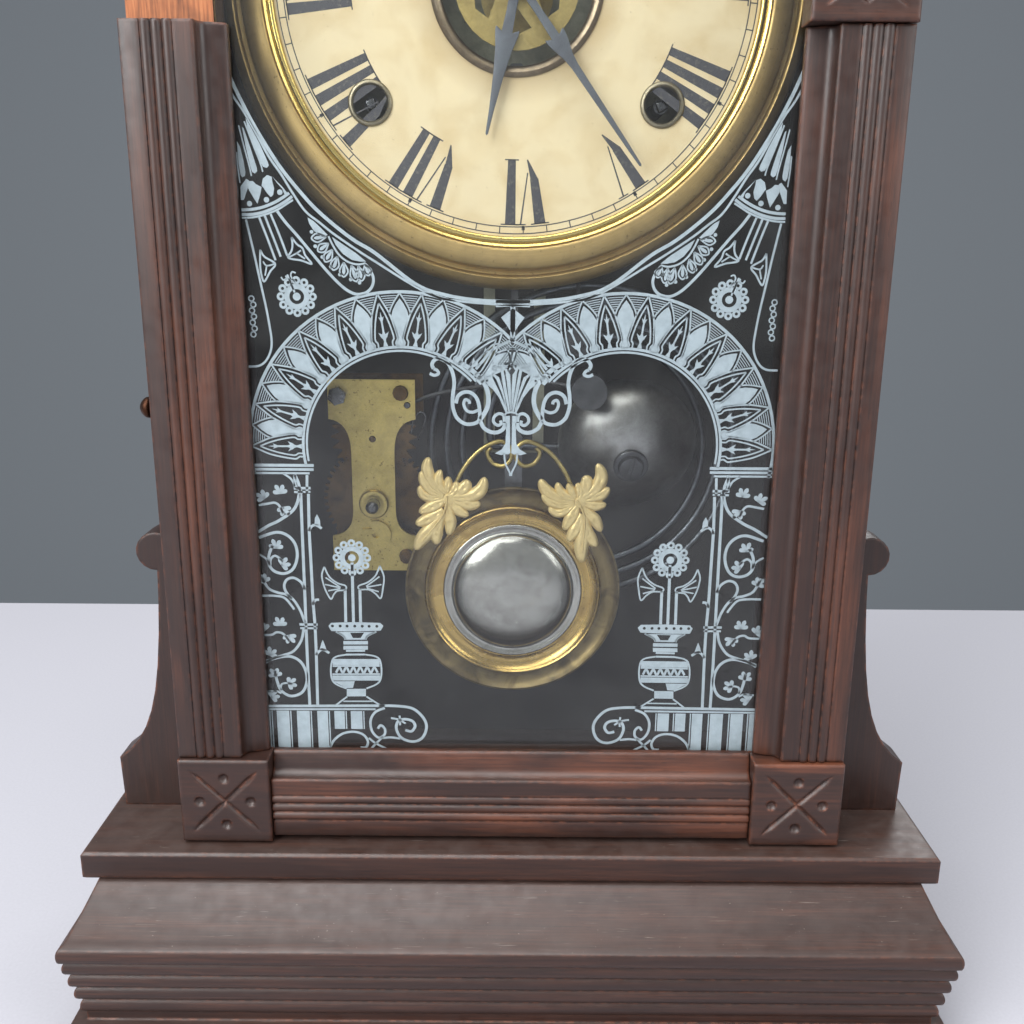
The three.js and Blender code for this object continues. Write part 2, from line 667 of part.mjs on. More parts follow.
function makeHands() {
  const dialAxis = new THREE.Group();
  dialAxis.position.set(0, yDoor, zDial);
  clock.add(dialAxis);
  const pipeBore = arborRadius + runClearance;
  const pipeOuter = pipeBore + pipeWall;
  const minuteOutline = [
    [1.3, 3.4], [1.4, 20.4], [3.3, 19.4], [3.1, 22.2], [2.3, 25], [1.5, 28], [1.15, 31], [0.95, 45],
    [0.65, 60], [0.4, minuteLength],
  ];
  const hourOutline = [
    [1.6, 4.4], [1.7, 15], [3.8, 13.8], [3.4, 17.4], [2.7, 20], [2.4, 22.4], [1.8, 27], [0.8, 38],
    [0.4, hourLength],
  ];
  const minute = plate(handShape(minuteOutline, arborRadius + 0.1), minuteFront, minuteFront + handThick);
  const hour = plate(handShape(hourOutline, pipeOuter + 0.1), hourFront, hourFront + handThick);
  piece("minute_hand", minute.rotateY(THREE.MathUtils.degToRad(minuteAngle)), blued, dialAxis);
  piece("hour_hand", hour.rotateY(THREE.MathUtils.degToRad(hourAngle)), blued, dialAxis);
  // Centre arbor with the hand nut in front and its wheel between the plates.
  const wheelAt = plateFront + plateThick + 6;
  const arborEnd = plateFront + plateThick + plateGap + 1.2;
  const arbor = turned([
    [0, minuteFront - 2.2], [1.9, minuteFront - 2.2], [1.9, minuteFront - 0.2],
    [arborRadius, minuteFront - 0.2], [arborRadius, wheelAt], [15, wheelAt], [15, wheelAt + 1.5],
    [arborRadius, wheelAt + 1.5], [arborRadius, arborEnd], [0, arborEnd],
  ], 18);
  piece("centre_arbor", arbor, steel, dialAxis);
  const pipe = tubeY(pipeBore, pipeOuter, hourFront - 0.4, plateFront - 3, 0, 0, 20);
  const hourWheel = tubeY(pipeOuter - 0.2, 12, plateFront - 4.4, plateFront - 3, 0, 0, 28);
  piece("hour_pipe", join(pipe, hourWheel), brassDull, dialAxis);
  // Alarm setting disc with V-shaped openings, a stiff turn on the hour pipe.
  const discShape = new THREE.Shape();
  discShape.absarc(0, 0, alarmDiscRadius, 0, Math.PI * 2);
  discShape.holes.push(circleHole(0, 0, pipeOuter + runClearance));
  const openings = 6;
  for (let n = 0; n < openings; n++) {
    const mid = (n / openings) * Math.PI * 2 + Math.PI / openings;
    const at = (r, angle) => new THREE.Vector2(r * Math.cos(angle), r * Math.sin(angle));
    discShape.holes.push(new THREE.Path([
      at(7.4, mid), at(alarmDiscRadius - 6, mid - 0.34), at(alarmDiscRadius - 4.6, mid),
      at(alarmDiscRadius - 6, mid + 0.34),
    ]));
  }
  piece("alarm_disc", plate(discShape, alarmDiscFront, alarmDiscFront + 1, 16), brass, dialAxis);
}

// ---------------------------------------------------------------- movement
// A toothed wheel outline about the origin.
function gear(teeth, root, tip, rootShare, tipShare, phase = 0) {
  const s = [];
  for (let n = 0; n < teeth; n++) {
    const mid = ((n + phase) / teeth) * Math.PI * 2;
    const half = Math.PI / teeth;
    for (const [r, share] of [[root, -rootShare], [tip, -tipShare], [tip, tipShare], [root, rootShare]]) {
      s.push([r * Math.cos(mid + share * half), r * Math.sin(mid + share * half)]);
    }
  }
  return s;
}

// The same outline moved to its arbor.
const gearAt = (points, x, z) => polygon(points.map(([px, pz]) => [px + x, pz + z]));

function makeMovement() {
  const front = yDoor + plateFront;
  const back = front + plateThick + plateGap;
  const low = zDial - plateBelow;
  const high = zDial + plateAbove;
  const w = plateHalfWidth;
  const windingZ = zDial - windingDrop;
  const outline = () => {
    const s = polygon([
      [-w, low + 12], [-w + 12, low], [w - 12, low], [w, low + 12], [w, zDial - 6], [26, high], [-26, high],
      [-w, zDial - 6],
    ]);
    s.holes.push(circleHole(0, zDial, arborRadius + runClearance));
    for (const side of [-1, 1]) {
      s.holes.push(circleHole(side * windingX, windingZ, windingArborRadius + runClearance));
    }
    return s;
  };
  // The suspension post is riveted in the front plate; its end carries the pendulum.
  const pivotZ = zDial - suspensionBelowDial;
  const post = disc(1.6, yDoor + pendulumPlane + 2, front + 0.1, 0, pivotZ, 12);
  // Four pillars riveted in the front plate pass through the back plate to the back board.
  const posts = [-1, 1].flatMap((side) => pillarPlaces.map(([dx, dz]) => [side * dx, zDial + dz]));
  const pillars = posts.map(([x, z]) => disc(pillarRadius, front + plateThick / 2, yBoard, x, z, 12));
  piece("movement_front_plate", join(plate(outline(), front, front + plateThick), post, ...pillars), brass);
  const backShape = outline();
  for (const [x, z] of posts) backShape.holes.push(circleHole(x, z, pillarRadius + runClearance));
  piece("movement_back_plate", join(plate(backShape, back, back + plateThick), strikeBracket(back)), brass);
  // Winding arbors, each with its great wheel and coiled mainspring between the plates.
  for (const [name, side] of [["time_winding_wheel", -1], ["strike_winding_wheel", 1]]) {
    const x = side * windingX;
    const wheel = plate(
      gearAt(gear(greatWheelTeeth, greatWheelRadius - 1.6, greatWheelRadius, 0.62, 0.3), x, windingZ),
      back - 9, back - 7,
    );
    const arbor = disc(windingArborRadius, yDoor + dialFace + 4, back + plateThick + 1.5, x, windingZ, 12);
    const spring = disc(mainspringRadius, back - 22, back - 8.5, x, windingZ, 28);
    piece(name, join(wheel, arbor, spring), steel);
  }
  // U-shaped brass stay from the foot of the movement down the back of the case.
  const stay = new THREE.Shape();
  const [half, legs, stayLow] = [12, 4.4, zSlab + 126];
  stay.moveTo(-half, low + 4);
  stay.lineTo(-half, stayLow);
  stay.lineTo(half, stayLow);
  stay.lineTo(half, low + 4);
  stay.lineTo(half - legs, low + 4);
  stay.lineTo(half - legs, stayLow + legs);
  stay.lineTo(-half + legs, stayLow + legs);
  stay.lineTo(-half + legs, low + 4);
  const strap = plate(stay, back + plateThick, back + plateThick + 1.4);
  const foot = block(-half, half, back + plateThick + 1, yBoard, stayLow, stayLow + 1.6);
  piece("movement_stay", join(strap, foot), brass);
}

// ---------------------------------------------------------------- pendulum
function makePendulum() {
  const y = yDoor + pendulumPlane;
  const pivotZ = zDial - suspensionBelowDial;
  const bobZ = zSlab + bobHeight;
  // Rod: an eye on the post, a flat strip, and a wider hook behind the bob.
  const eye = 1.6 + runClearance;
  const rod = polygon([
    [-1.2, pivotZ - 4], [-3.6, pivotZ - 1], [-3.6, pivotZ + 2.4], [-1.6, pivotZ + 4.4], [1.6, pivotZ + 4.4],
    [3.6, pivotZ + 2.4], [3.6, pivotZ - 1], [1.2, pivotZ - 4], [1.2, bobZ + 62], [rodWidth / 2, bobZ + 58],
    [rodWidth / 2, bobZ - 30], [-rodWidth / 2, bobZ - 30], [-rodWidth / 2, bobZ + 58], [-1.2, bobZ + 62],
  ]);
  rod.holes.push(circleHole(0, pivotZ, eye));
  piece("pendulum_rod", plate(rod, y + 3, y + 3 + rodThick), steel);
  // Dish with a raised bright ring, and the silvered dome in its middle.
  piece("bob_dish", turned([
    [0, y + 2.6], [bobRadius - 4, y + 2.6], [bobRadius, y - 1], [bobRadius - 0.9, y - 1.8],
    [bobRadius - 3.2, y + 0.4], [bobRingRadius, y + 0.2], [bobRingRadius - 1.4, y - 2.2],
    [(bobRingRadius + bobRingInner) / 2, y - 3.4], [bobRingInner + 1.2, y - 2.4], [bobRingInner, y - 0.6],
    [domeRadius + 1, y - 0.2], [0, y - 0.2],
  ], 48, 0, bobZ), brass);
  const dome = [[0, y - 0.2], [domeRadius, y - 0.2]];
  for (let n = 1; n <= 6; n++) {
    const angle = (n / 6) * (Math.PI / 2);
    dome.push([domeRadius * Math.cos(angle), y - 0.2 - 7 * Math.sin(angle)]);
  }
  dome[dome.length - 1][0] = 0;
  piece("bob_dome", turned(dome, 36, 0, bobZ), nickel);
  // Wire yoke over the top of the dish, with a curl on each side of the rod.
  const yokeY = y - 1.4 - yokeWire;
  const arch = new THREE.CatmullRomCurve3([
    v3(-24, yokeY, bobZ + 34), v3(-19, yokeY, bobZ + 47), v3(-11, yokeY, bobZ + 55.5),
    v3(0, yokeY, bobZ + 58),
    v3(11, yokeY, bobZ + 55.5), v3(19, yokeY, bobZ + 47), v3(24, yokeY, bobZ + 34),
  ]);
  const ring = (x) => turned(Array.from({ length: 7 }, (_, n) => {
    const angle = (n / 6) * Math.PI * 2;
    return [curlRadius + yokeWire * Math.cos(angle), yokeY + yokeWire * Math.sin(angle)];
  }), 16, x, bobZ + 58 - yokeWire - curlRadius);
  piece("bob_yoke", join(wire(arch, yokeWire, 24, 6), ring(-5.3), ring(5.3)), brass);
  // A pair of gilt leaves on the shoulders of the dish: one stamping, turned for the right side.
  const outline = [
    [-7.9, 14.1], [-4.5, 9.9], [-2.5, 10.1], [-1.6, 7], [0.2, 7.3], [1.3, 4.2], [3, 5.6], [4, 4.4],
    [5.7, 6.4], [6.8, 4.8], [9.1, 6.1], [10.3, 4.6], [13.7, 6.9], [12.9, 2.5], [10.4, 0.9],
    [12.2, -2.5], [8.2, -3.8], [7.7, -7.1], [3.1, -6.5], [3.1, -9.9], [0.8, -13.9], [-2.4, -12.5],
    [-3.9, -17.3], [-6.3, -15], [-12.3, -19.5], [-10.3, -13.7], [-11.8, -10.3], [-8.7, -8.7],
    [-10.4, -6.1], [-6.3, -3.4], [-4.4, -0.8], [-7.2, 0.4], [-10.8, 2.7], [-8.4, 4.8], [-11, 8.5],
    [-8.4, 9.5],
  ];
  const leaf = (x, z, degrees) => plate(polygon(outline), y - leafAhead, y - leafAhead + leafThick)
    .rotateY(THREE.MathUtils.degToRad(degrees)).translate(x, 0, z);
  piece("bob_leaf_left", leaf(-leafAcross, bobZ + leafLeftRise, 0), gilt);
  piece("bob_leaf_right", leaf(leafAcross, bobZ + leafRightRise, -leafTurn), gilt);
}

// ---------------------------------------------------------------- gong, bell and hammers
// Coil gong: from its block straight out, then round in an opening spiral. One unbroken wire.
class GongCurve extends THREE.Curve {
  getPoint(t, target = new THREE.Vector3()) {
    const leg = 0.06;
    const start = gongBlockRadius - 2;
    if (t < leg) {
      const r = THREE.MathUtils.lerp(start, gongInner - 6, t / leg);
      return target.set(-r, 0, 0);
    }
    const turn = (t - leg) / (1 - leg);
    const angle = turn * gongTurns * Math.PI * 2;
    const ease = 6 * Math.exp(-angle / 0.5);
    const r = gongInner + (gongPitch * angle) / (Math.PI * 2) - ease;
    return target.set(-r * Math.cos(angle), 0, r * Math.sin(angle));
  }
}

function makeGong() {
  const coil = new GongCurve();
  const steps = Math.round(gongTurns * 24) + 6;
  const x = gongX;
  const z = zSlab + gongHeight;
  const y = yDoor + gongPlane;
  piece("gong", wire(coil, gongWire, steps, 6).translate(x, y, z), steel);
  // Least gap of the coil to itself, measured on points a full turn apart.
  const samples = 480;
  let least = Infinity;
  const points = Array.from({ length: samples }, (_, n) => coil.getPoint(n / (samples - 1)));
  for (let i = 0; i < samples; i++) {
    for (let j = i + 40; j < samples; j++) least = Math.min(least, points[i].distanceTo(points[j]));
  }
  console.log(`gong: least gap to itself ${(least - 2 * gongWire).toFixed(2)} mm`);
  // Iron block on the back board, bored for the inner end of the coil.
  const hub = disc(gongBlockRadius, y - 4, yBoard, x, z, 20);
  const boreLength = 20;
  const bore = new THREE.CylinderGeometry(gongWire + gap, gongWire + gap, boreLength, 12);
  bore.rotateZ(Math.PI / 2).translate(x - boreLength / 2 - (gongBlockRadius - 2) + gap, y, z);
  piece("gong_block", cut(hub, bore), walnutDark);
}

function makeBell() {
  const mouth = yDoor + bellMouth;
  const tilted = new THREE.Group();
  tilted.position.set(bellX, mouth, zSlab + bellHeight);
  tilted.rotation.x = THREE.MathUtils.degToRad(bellTilt);
  clock.add(tilted);
  // Dome: its mouth to the back, its crown to the front.
  const boltRadius = 1.6;
  const steps = 6;
  const skin = (radius, depth, from) => Array.from({ length: steps + 1 }, (_, n) => {
    const angle = (n / steps) * (Math.PI / 2) * 0.985;
    return [Math.max(radius * Math.cos(angle), from), -depth * Math.sin(angle)];
  });
  const outside = skin(bellRadius, bellDepth, boltRadius + gap);
  const inside = skin(bellRadius - bellWall, bellDepth - bellWall, boltRadius + gap).reverse();
  piece("bell", turned([...outside, ...inside, outside[0]], 36), nickel, tilted);
  // Post from the back board, bent to the tilt, with the crown screw that holds the bell.
  tilted.updateMatrix();
  const screw = turned([
    [0, -bellDepth - 2.6], [4.6, -bellDepth - 2.4], [5, -bellDepth - 1.2], [6.4, -bellDepth - 1.2],
    [6.4, -bellDepth - gap], [boltRadius, -bellDepth - gap], [boltRadius, -bellDepth + 3],
    [3, -bellDepth + 3], [3, 3], [0, 3],
  ], 24).applyMatrix4(tilted.matrix);
  piece("bell_post", join(screw, disc(3, mouth, yBoard, bellX, zSlab + bellHeight, 14)), steel);
}

function makeHammers() {
  // Strike hammer: hangs from its pivot under the movement and swings on to the gong.
  const z = zSlab + strikeHammerDrop;
  const pivotZ = zSlab + strikePivotHeight;
  const head = disc(hammerHeadRadius - 1, yDoor + 66, yDoor + gongPlane - gongWire - 1, strikeHammerX, z, 18);
  const armY = yDoor + strikeHammerPlane;
  const arm = new THREE.CylinderGeometry(hammerWire, hammerWire, pivotZ - z, 8).rotateX(Math.PI / 2);
  arm.translate(strikeHammerX, armY, (pivotZ + z) / 2);
  const acrossPivot = (radius, long, sides) => new THREE.CylinderGeometry(radius, radius, long, sides)
    .rotateZ(Math.PI / 2).translate(strikeHammerX, armY, pivotZ);
  const eye = acrossPivot(2.6, 5, 16);
  const bore = acrossPivot(1.3, 8, 12);
  piece("strike_hammer", cut(join(head, arm, eye), bore), steel);
}

// Bent bracket riveted on the back plate, with the pin that the strike hammer turns on.
function strikeBracket(back) {
  const x = strikeHammerX;
  const y = yDoor + strikeHammerPlane;
  const z = zSlab + strikePivotHeight;
  const ear = 3;
  const pin = new THREE.CylinderGeometry(1, 1, 13, 12).rotateZ(Math.PI / 2).translate(x, y, z);
  const ears = [-1, 1].map((side) => block(
    x + side * 5.5 - 1, x + side * 5.5 + 1, y - ear, back + plateThick + 1.5, z - ear, z + ear,
  ));
  const web = block(x - 6.5, x + 6.5, back + plateThick - 0.1, back + plateThick + 1.5, z - ear, z + 12);
  return join(pin, ...ears, web);
}

// ---------------------------------------------------------------- alarm movement
function makeAlarm() {
  const x = alarmX;
  const front = yDoor + alarmFront;
  const back = front + alarmPlateThick + alarmGap;
  const [top, bottom] = [zSlab + alarmTop, zSlab + alarmBottom];
  const arborZ = zSlab + alarmArborHeight;
  const centres = (alarmModule * (alarmMainTeeth + alarmPinionTeeth)) / 2;
  const escapeZ = arborZ + centres;
  const arbor = 2;
  const thin = 1;
  const pillars = [[-12.6, top - 6], [11, top - 5], [-13, bottom + 6.4], [12.2, bottom + 6]];
  // Front plate: a broad head and foot with a hollow waist that shows the wheels.
  const outline = (waist, half) => {
    const s = new THREE.Shape();
    s.moveTo(x - half, top);
    s.lineTo(x - half, top - 15);
    s.quadraticCurveTo(x - waist, top - 16, x - waist, top - 28);
    s.lineTo(x - waist, bottom + 24);
    s.quadraticCurveTo(x - waist, bottom + 15, x - half, bottom + 14);
    s.lineTo(x - half, bottom);
    s.lineTo(x + half, bottom);
    s.lineTo(x + half, bottom + 14);
    s.quadraticCurveTo(x + waist, bottom + 15, x + waist, bottom + 24);
    s.lineTo(x + waist, top - 28);
    s.quadraticCurveTo(x + waist, top - 16, x + half, top - 15);
    s.lineTo(x + half, top);
    s.holes.push(circleHole(x, arborZ, arbor + runClearance));
    s.holes.push(circleHole(x, escapeZ, thin + runClearance));
    s.holes.push(circleHole(x + vergeAcross, top - vergeBelowTop, vergeRadius + runClearance));
    for (const [dx, z] of pillars) s.holes.push(circleHole(x + dx, z, 1.6 + runClearance));
    return s;
  };
  const frontPlate = plate(outline(alarmWaist, alarmHalfWidth), front, front + alarmPlateThick);
  piece("alarm_front_plate", frontPlate, brass);
  // Pillars riveted in the back plate, nutted in front, with feet on the back board.
  const posts = pillars.map(([dx, z]) => turned([
    [0, front - 2.6], [2.6, front - 2.2], [3, front - gap], [1.6, front - gap],
    [1.6, front + alarmPlateThick + gap], [2.6, front + alarmPlateThick + gap], [2.6, yBoard], [0, yBoard],
  ], 12, x + dx, z));
  const backPlate = plate(outline(alarmWaist + 3, alarmHalfWidth + 1.5), back, back + alarmPlateThick);
  piece("alarm_back_plate", join(backPlate, ...posts), brassDull);
  // Main wheel on the winding arbor, with its spring drum behind and the stop collar in front.
  const m = alarmModule;
  const mainPitch = (m * alarmMainTeeth) / 2;
  const pinionPitch = (m * alarmPinionTeeth) / 2;
  const wheelY = front + alarmPlateThick + 7;
  const mainTeeth = gear(alarmMainTeeth, mainPitch - m * 1.15, mainPitch + m * 0.75, 0.56, 0.24, 0);
  const collar = new THREE.Shape();
  collar.absarc(x, arborZ, 5.5, Math.PI * 1.45, Math.PI * 3.35, false);
  collar.lineTo(x + 1.4, arborZ - 3.6);
  piece("alarm_main_wheel", join(
    plate(gearAt(mainTeeth, x, arborZ), wheelY, wheelY + 1.4),
    disc(arbor, front - 7, back + alarmPlateThick + 1, x, arborZ, 12),
    disc(15, wheelY + 1, back - 1, x, arborZ, 24),
    plate(collar, front - 1.7, front - gap, 12),
  ), brassDull);
  // Escape wheel with pointed teeth on the pinion's arbor.
  const pinion = gear(alarmPinionTeeth, pinionPitch - m * 1.15, pinionPitch + m * 0.7, 0.46, 0.2, 0.5);
  const quarter = alarmPinionTeeth / 4;
  const teeth = gear(alarmEscapeTeeth, alarmEscapeRadius - 3, alarmEscapeRadius, 0.8, 0.12);
  piece("alarm_escape_wheel", join(
    plate(gearAt(pinion, x, escapeZ), wheelY - 1.5, wheelY + 3, quarter),
    plate(gearAt(teeth, x, escapeZ), wheelY - 3.6, wheelY - 2.4),
    disc(thin, front - 0.6, back + alarmPlateThick + 0.8, x, escapeZ, 10),
    disc(2.4, wheelY - 3, wheelY - 1, x, escapeZ, 12),
  ), brassDull);
  // Stop piece below the collar, turning on a stud in the front plate.
  const stopZ = arborZ - 12.4;
  const stop = new THREE.Shape();
  stop.absarc(x + 0.6, stopZ, 5.8, -Math.PI * 0.55, Math.PI * 0.6, false);
  stop.lineTo(x - 1, stopZ + 2.6);
  stop.lineTo(x - 5, stopZ + 2.4);
  stop.lineTo(x - 4.6, stopZ - 2);
  stop.lineTo(x - 1, stopZ - 2.6);
  stop.holes.push(circleHole(x + 0.6, stopZ, 1.2));
  piece("alarm_stop", plate(stop, front - 1.5, front, 8), brass);
  // Hammer: a wire from its verge, which turns in both plates, across to the bell.
  const hammerY = yDoor + alarmHammerPlane;
  const vergeY = front + alarmPlateThick + 3;
  const pivot = v3(x + vergeAcross, vergeY, top - vergeBelowTop);
  const headAt = v3(alarmHammerX, hammerY, zSlab + alarmHammerHeight);
  const arm = new THREE.CatmullRomCurve3([
    pivot, v3(pivot.x + 14, vergeY, pivot.z + 4.5), v3(headAt.x - 16, vergeY - 3, headAt.z + 2), headAt,
  ]);
  const verge = disc(vergeRadius, front - 0.6, back + alarmPlateThick + 0.6, pivot.x, pivot.z, 10);
  const hammerHead = disc(hammerHeadRadius, hammerY - 3, hammerY + 3, headAt.x, headAt.z, 20);
  piece("alarm_hammer", join(wire(arm, hammerWire, 22, 6), verge, hammerHead), steel);
}

makeBase();
makeCase();
makeDoor();
makeHinges();
makeDial();
makeHands();
makeMovement();
makePendulum();
makeGong();
makeBell();
makeHammers();
makeAlarm();

export default clock;
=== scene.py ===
# A parlour shelf clock of about 1890, dressed on its measured frame: polished walnut case, reeded door
# with carved corner blocks, silk-printed glass, paper dial in a brass bezel, pendulum, gong, bell and alarm.
# Everything is drawn in millimetres, +X right, +Y to the back, +Z up, and made in metres at the end.
import math

import bmesh
import bpy
from bpy.props import FloatProperty, FloatVectorProperty, IntProperty, PointerProperty
from mathutils import Matrix, Vector
from mathutils.geometry import tessellate_polygon


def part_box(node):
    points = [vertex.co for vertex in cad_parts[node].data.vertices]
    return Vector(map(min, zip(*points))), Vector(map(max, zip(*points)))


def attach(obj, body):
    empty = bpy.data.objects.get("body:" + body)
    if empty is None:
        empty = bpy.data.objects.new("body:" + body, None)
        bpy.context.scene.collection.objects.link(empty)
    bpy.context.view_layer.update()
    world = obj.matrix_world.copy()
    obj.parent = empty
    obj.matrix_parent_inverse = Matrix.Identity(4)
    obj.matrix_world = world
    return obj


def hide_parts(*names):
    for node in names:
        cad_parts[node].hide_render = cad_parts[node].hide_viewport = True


bl_info = {
    "name": "Parlour shelf clock",
    "version": (1, 0, 0),
    "blender": (4, 5, 0),
    "location": "3D Viewport > Sidebar > Clock",
    "description": "Wood, mouldings, printed glass, dial, pendulum and bells for a parlour shelf clock",
    "category": "Object",
}

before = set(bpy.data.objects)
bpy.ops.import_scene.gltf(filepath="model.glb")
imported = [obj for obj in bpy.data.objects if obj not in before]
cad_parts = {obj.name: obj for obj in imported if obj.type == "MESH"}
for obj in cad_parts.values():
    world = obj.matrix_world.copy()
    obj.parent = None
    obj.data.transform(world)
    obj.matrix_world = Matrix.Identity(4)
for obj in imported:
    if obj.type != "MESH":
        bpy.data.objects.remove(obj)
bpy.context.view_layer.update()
MM = 0.001
TAU = math.tau


# ---------------------------------------------------------------- places read from the frame
def low(node):
    """Lowest corner of a frame node, in millimetres."""
    return Vector(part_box(node)[0]) / MM


def high(node):
    """Highest corner of a frame node, in millimetres."""
    return Vector(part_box(node)[1]) / MM


def middle(node):
    return (low(node) + high(node)) / 2


DOOR_FRONT = low("stile_left").y
CORE_FRONT = low("door_frame").y
DOOR_HALF = high("stile_right").x
SLAB_TOP = high("plinth_board").z
GLASS_BACK = high("glass").y
DIAL_FACE = low("dial_plate").y
DIAL_Z = middle("bezel").z
BOB = middle("bob_dish")
BOARD_FRONT = low("back_board").y
PRINT_GAP = 0.05
# The print lies a little left of the door's middle, and its palmette a little further.
PRINT_MIDDLE = -0.6
PALMETTE_MIDDLE = -0.95


# ---------------------------------------------------------------- sizes and colours a user would change
def linear(value):
    """A colour as the nodes take it, from an sRGB hex value or from a colour that is linear already."""
    if not isinstance(value, str):
        return tuple(value)
    rgb = [int(value[i:i + 2], 16) / 255 for i in (1, 3, 5)]
    return tuple(c / 12.92 if c <= 0.04045 else ((c + 0.055) / 1.055) ** 2.4 for c in rgb) + (1.0,)


def length(name, default, description):
    """A length, given in millimetres and kept in metres."""
    return FloatProperty(
        name=name, description=description, default=default * MM, min=0.0, subtype="DISTANCE", unit="LENGTH",
    )


def angle(name, default, description):
    """An angle, given in degrees and kept in radians."""
    return FloatProperty(
        name=name, description=description, default=math.radians(default), subtype="ANGLE", unit="ROTATION",
    )


def hue(name, default, description):
    return FloatVectorProperty(
        name=name, description=description, default=linear(default), subtype="COLOR", size=4, min=0.0, max=1.0,
    )


def mm(value):
    """A length property in millimetres."""
    return value / MM


class ClockWood(bpy.types.PropertyGroup):
    """Walnut case, door and base."""

    dark: hue("Grain, dark", "#20110d", "Dark lines of the polished walnut")
    mid: hue("Grain, middle", "#341e16", "Body colour of the polished walnut")
    light: hue("Grain, light", "#48291c", "Light streaks of the polished walnut")
    worn: hue("Worn edge", "#7b452c", "Wood that shows where the polish is rubbed off")
    bare: hue("Bare core", "#9a5c36", "Unpolished wood under the missing corner block")
    dust: hue("Dust", "#483d39", "Dust that lies on level tops")
    inside: hue("Back board", "#24211f", "Dark stained inside of the case")
    edge_radius: length("Edge radius", 0.9, "Rounding of the sawn boards' edges, from handling")


class ClockMetal(bpy.types.PropertyGroup):
    """Brass, steel and nickel."""

    brass: hue("Brass", "#c2ad6f", "Lacquered brass of the bezel and plates")
    # The bezel's ridge: polished brass, its brighter colour partly a painted highlight.
    brass_polish_and_highlight: hue("Bright brass", "#e3c876", "Polished ridge of the bezel")
    tarnish: hue("Tarnish", "#877748", "Brown tarnish on old brass")
    gilt: hue("Gilt", "#e6cf92", "Stamped and gilt leaves of the pendulum")
    steel: hue("Steel", "#6b6d70", "Grey steel of wires and arbors")
    nickel: hue("Nickel", "#adadab", "Nickel plate of the bell")
    blued: hue("Hands", "#666c73", "Faded blued steel of the hands")
    iron: hue("Gong block", "#3c261c", "Japanned iron of the gong's block")


class ClockDial(bpy.types.PropertyGroup):
    """Paper dial."""

    paper: hue("Paper", "#ecdab0", "Aged cream paper")
    stain: hue("Stain", "#c9a868", "Foxed and handled parts of the paper")
    ink: hue("Ink", "#45454a", "Printed numerals and minute track")
    track_outer: length("Track, outside", 75.9, "Outer line of the minute track")
    track_width: length("Track, width", 2.2, "Distance between its two lines")
    line: length("Line", 0.35, "Printed line width")
    numeral_inner: length("Numerals, feet", 52.6, "Radius of the numerals' feet")
    numeral_outer: length("Numerals, heads", 73.0, "Radius of the numerals' heads")
    turn: angle("Turn", -2.0, "The printed paper sits turned by this much")


class ClockTablet(bpy.types.PropertyGroup):
    """Silk-printed glass."""

    print_colour: hue("Print", "#b9c6cd", "Pale blue-grey print on the back of the glass")
    arch_x: length("Arch, from the middle", 36.4, "Centre of each fan of petals")
    arch_z: length("Arch, height", 142.2, "Centre of each fan above the plinth board")
    arch_inner: length("Arch, inside", 31.6, "Inner radius of the fan")
    arch_outer: length("Arch, outside", 50.6, "Outer radius of the fan")
    windows: IntProperty(name="Windows", description="Pointed windows in half a turn of the fan", default=11, min=3)


class ClockStage(bpy.types.PropertyGroup):
    """Camera, light and surroundings."""

    lens: length("Lens", 36.18, "Focal length on a 36 mm sensor")
    eye: FloatVectorProperty(
        name="Eye", description="Where the camera stands", default=(-0.0004, -0.357, 0.2762), subtype="XYZ",
        unit="LENGTH",
    )
    pitch: angle("Pitch", 14.98, "Downward tilt of the camera")
    roll: angle("Roll", 0.43, "Turn of the camera about its own axis")
    floor: hue("Table top", "#a2a2a9", "Plain pale table top")
    backdrop: hue("Wall", "#7d8388", "Plain grey wall")
    table_edge: length("Table edge", 392.0, "Distance of the table's far edge behind the clock's middle")


GROUPS = {
    "clock_wood": ClockWood,
    "clock_metal": ClockMetal,
    "clock_dial": ClockDial,
    "clock_tablet": ClockTablet,
    "clock_stage": ClockStage,
}


def wood():
    return bpy.context.scene.clock_wood


def metal():
    return bpy.context.scene.clock_metal


# ---------------------------------------------------------------- drawing meshes
def placed(name, data):
    """A new object of this data, in the scene."""
    thing = bpy.data.objects.new(name, data)
    bpy.context.scene.collection.objects.link(thing)
    return thing


def evaluated(holder):
    """The mesh that an object's curve or modifier makes."""
    bpy.context.view_layer.update()
    return bpy.data.meshes.new_from_object(holder.evaluated_get(bpy.context.evaluated_depsgraph_get()))


class Drawing:
    """Corners and faces of a piece that is being drawn, in millimetres."""

    def __init__(self):
        self.corners = []
        self.faces = []

    def add(self, corners, faces):
        base = len(self.corners)
        self.corners.extend(Vector(c) for c in corners)
        self.faces.extend([base + i for i in face] for face in faces)
        return self

    def take(self, other, matrix=Matrix.Identity(4)):
        return self.add([matrix @ c for c in other.corners], other.faces)

    def turned(self, matrix):
        return Drawing().take(self, matrix)


def beyond(level, *profile):
    """A profile of radius and depth, or of x and z, whose second numbers count from a level."""
    return [(first, level + second) for first, second in profile]


def lathe(profile, segments=64, x=0.0, z=0.0):
    """A piece turned about the Y axis through (x, z). The profile is radius and depth."""
    d = Drawing()
    rows = []
    for radius, y in profile:
        if radius < 1e-6:
            rows.append([len(d.corners)])
            d.corners.append(Vector((x, y, z)))
            continue
        start = len(d.corners)
        for n in range(segments):
            a = TAU * n / segments
            d.corners.append(Vector((x + radius * math.cos(a), y, z + radius * math.sin(a))))
        rows.append(list(range(start, start + segments)))
    for near, far in zip(rows, rows[1:]):
        for n in range(segments):
            m = (n + 1) % segments
            if len(near) == 1 and len(far) == 1:
                continue
            if len(near) == 1:
                d.faces.append([near[0], far[m], far[n]])
            elif len(far) == 1:
                d.faces.append([near[n], near[m], far[0]])
            else:
                d.faces.append([near[n], near[m], far[m], far[n]])
    return d


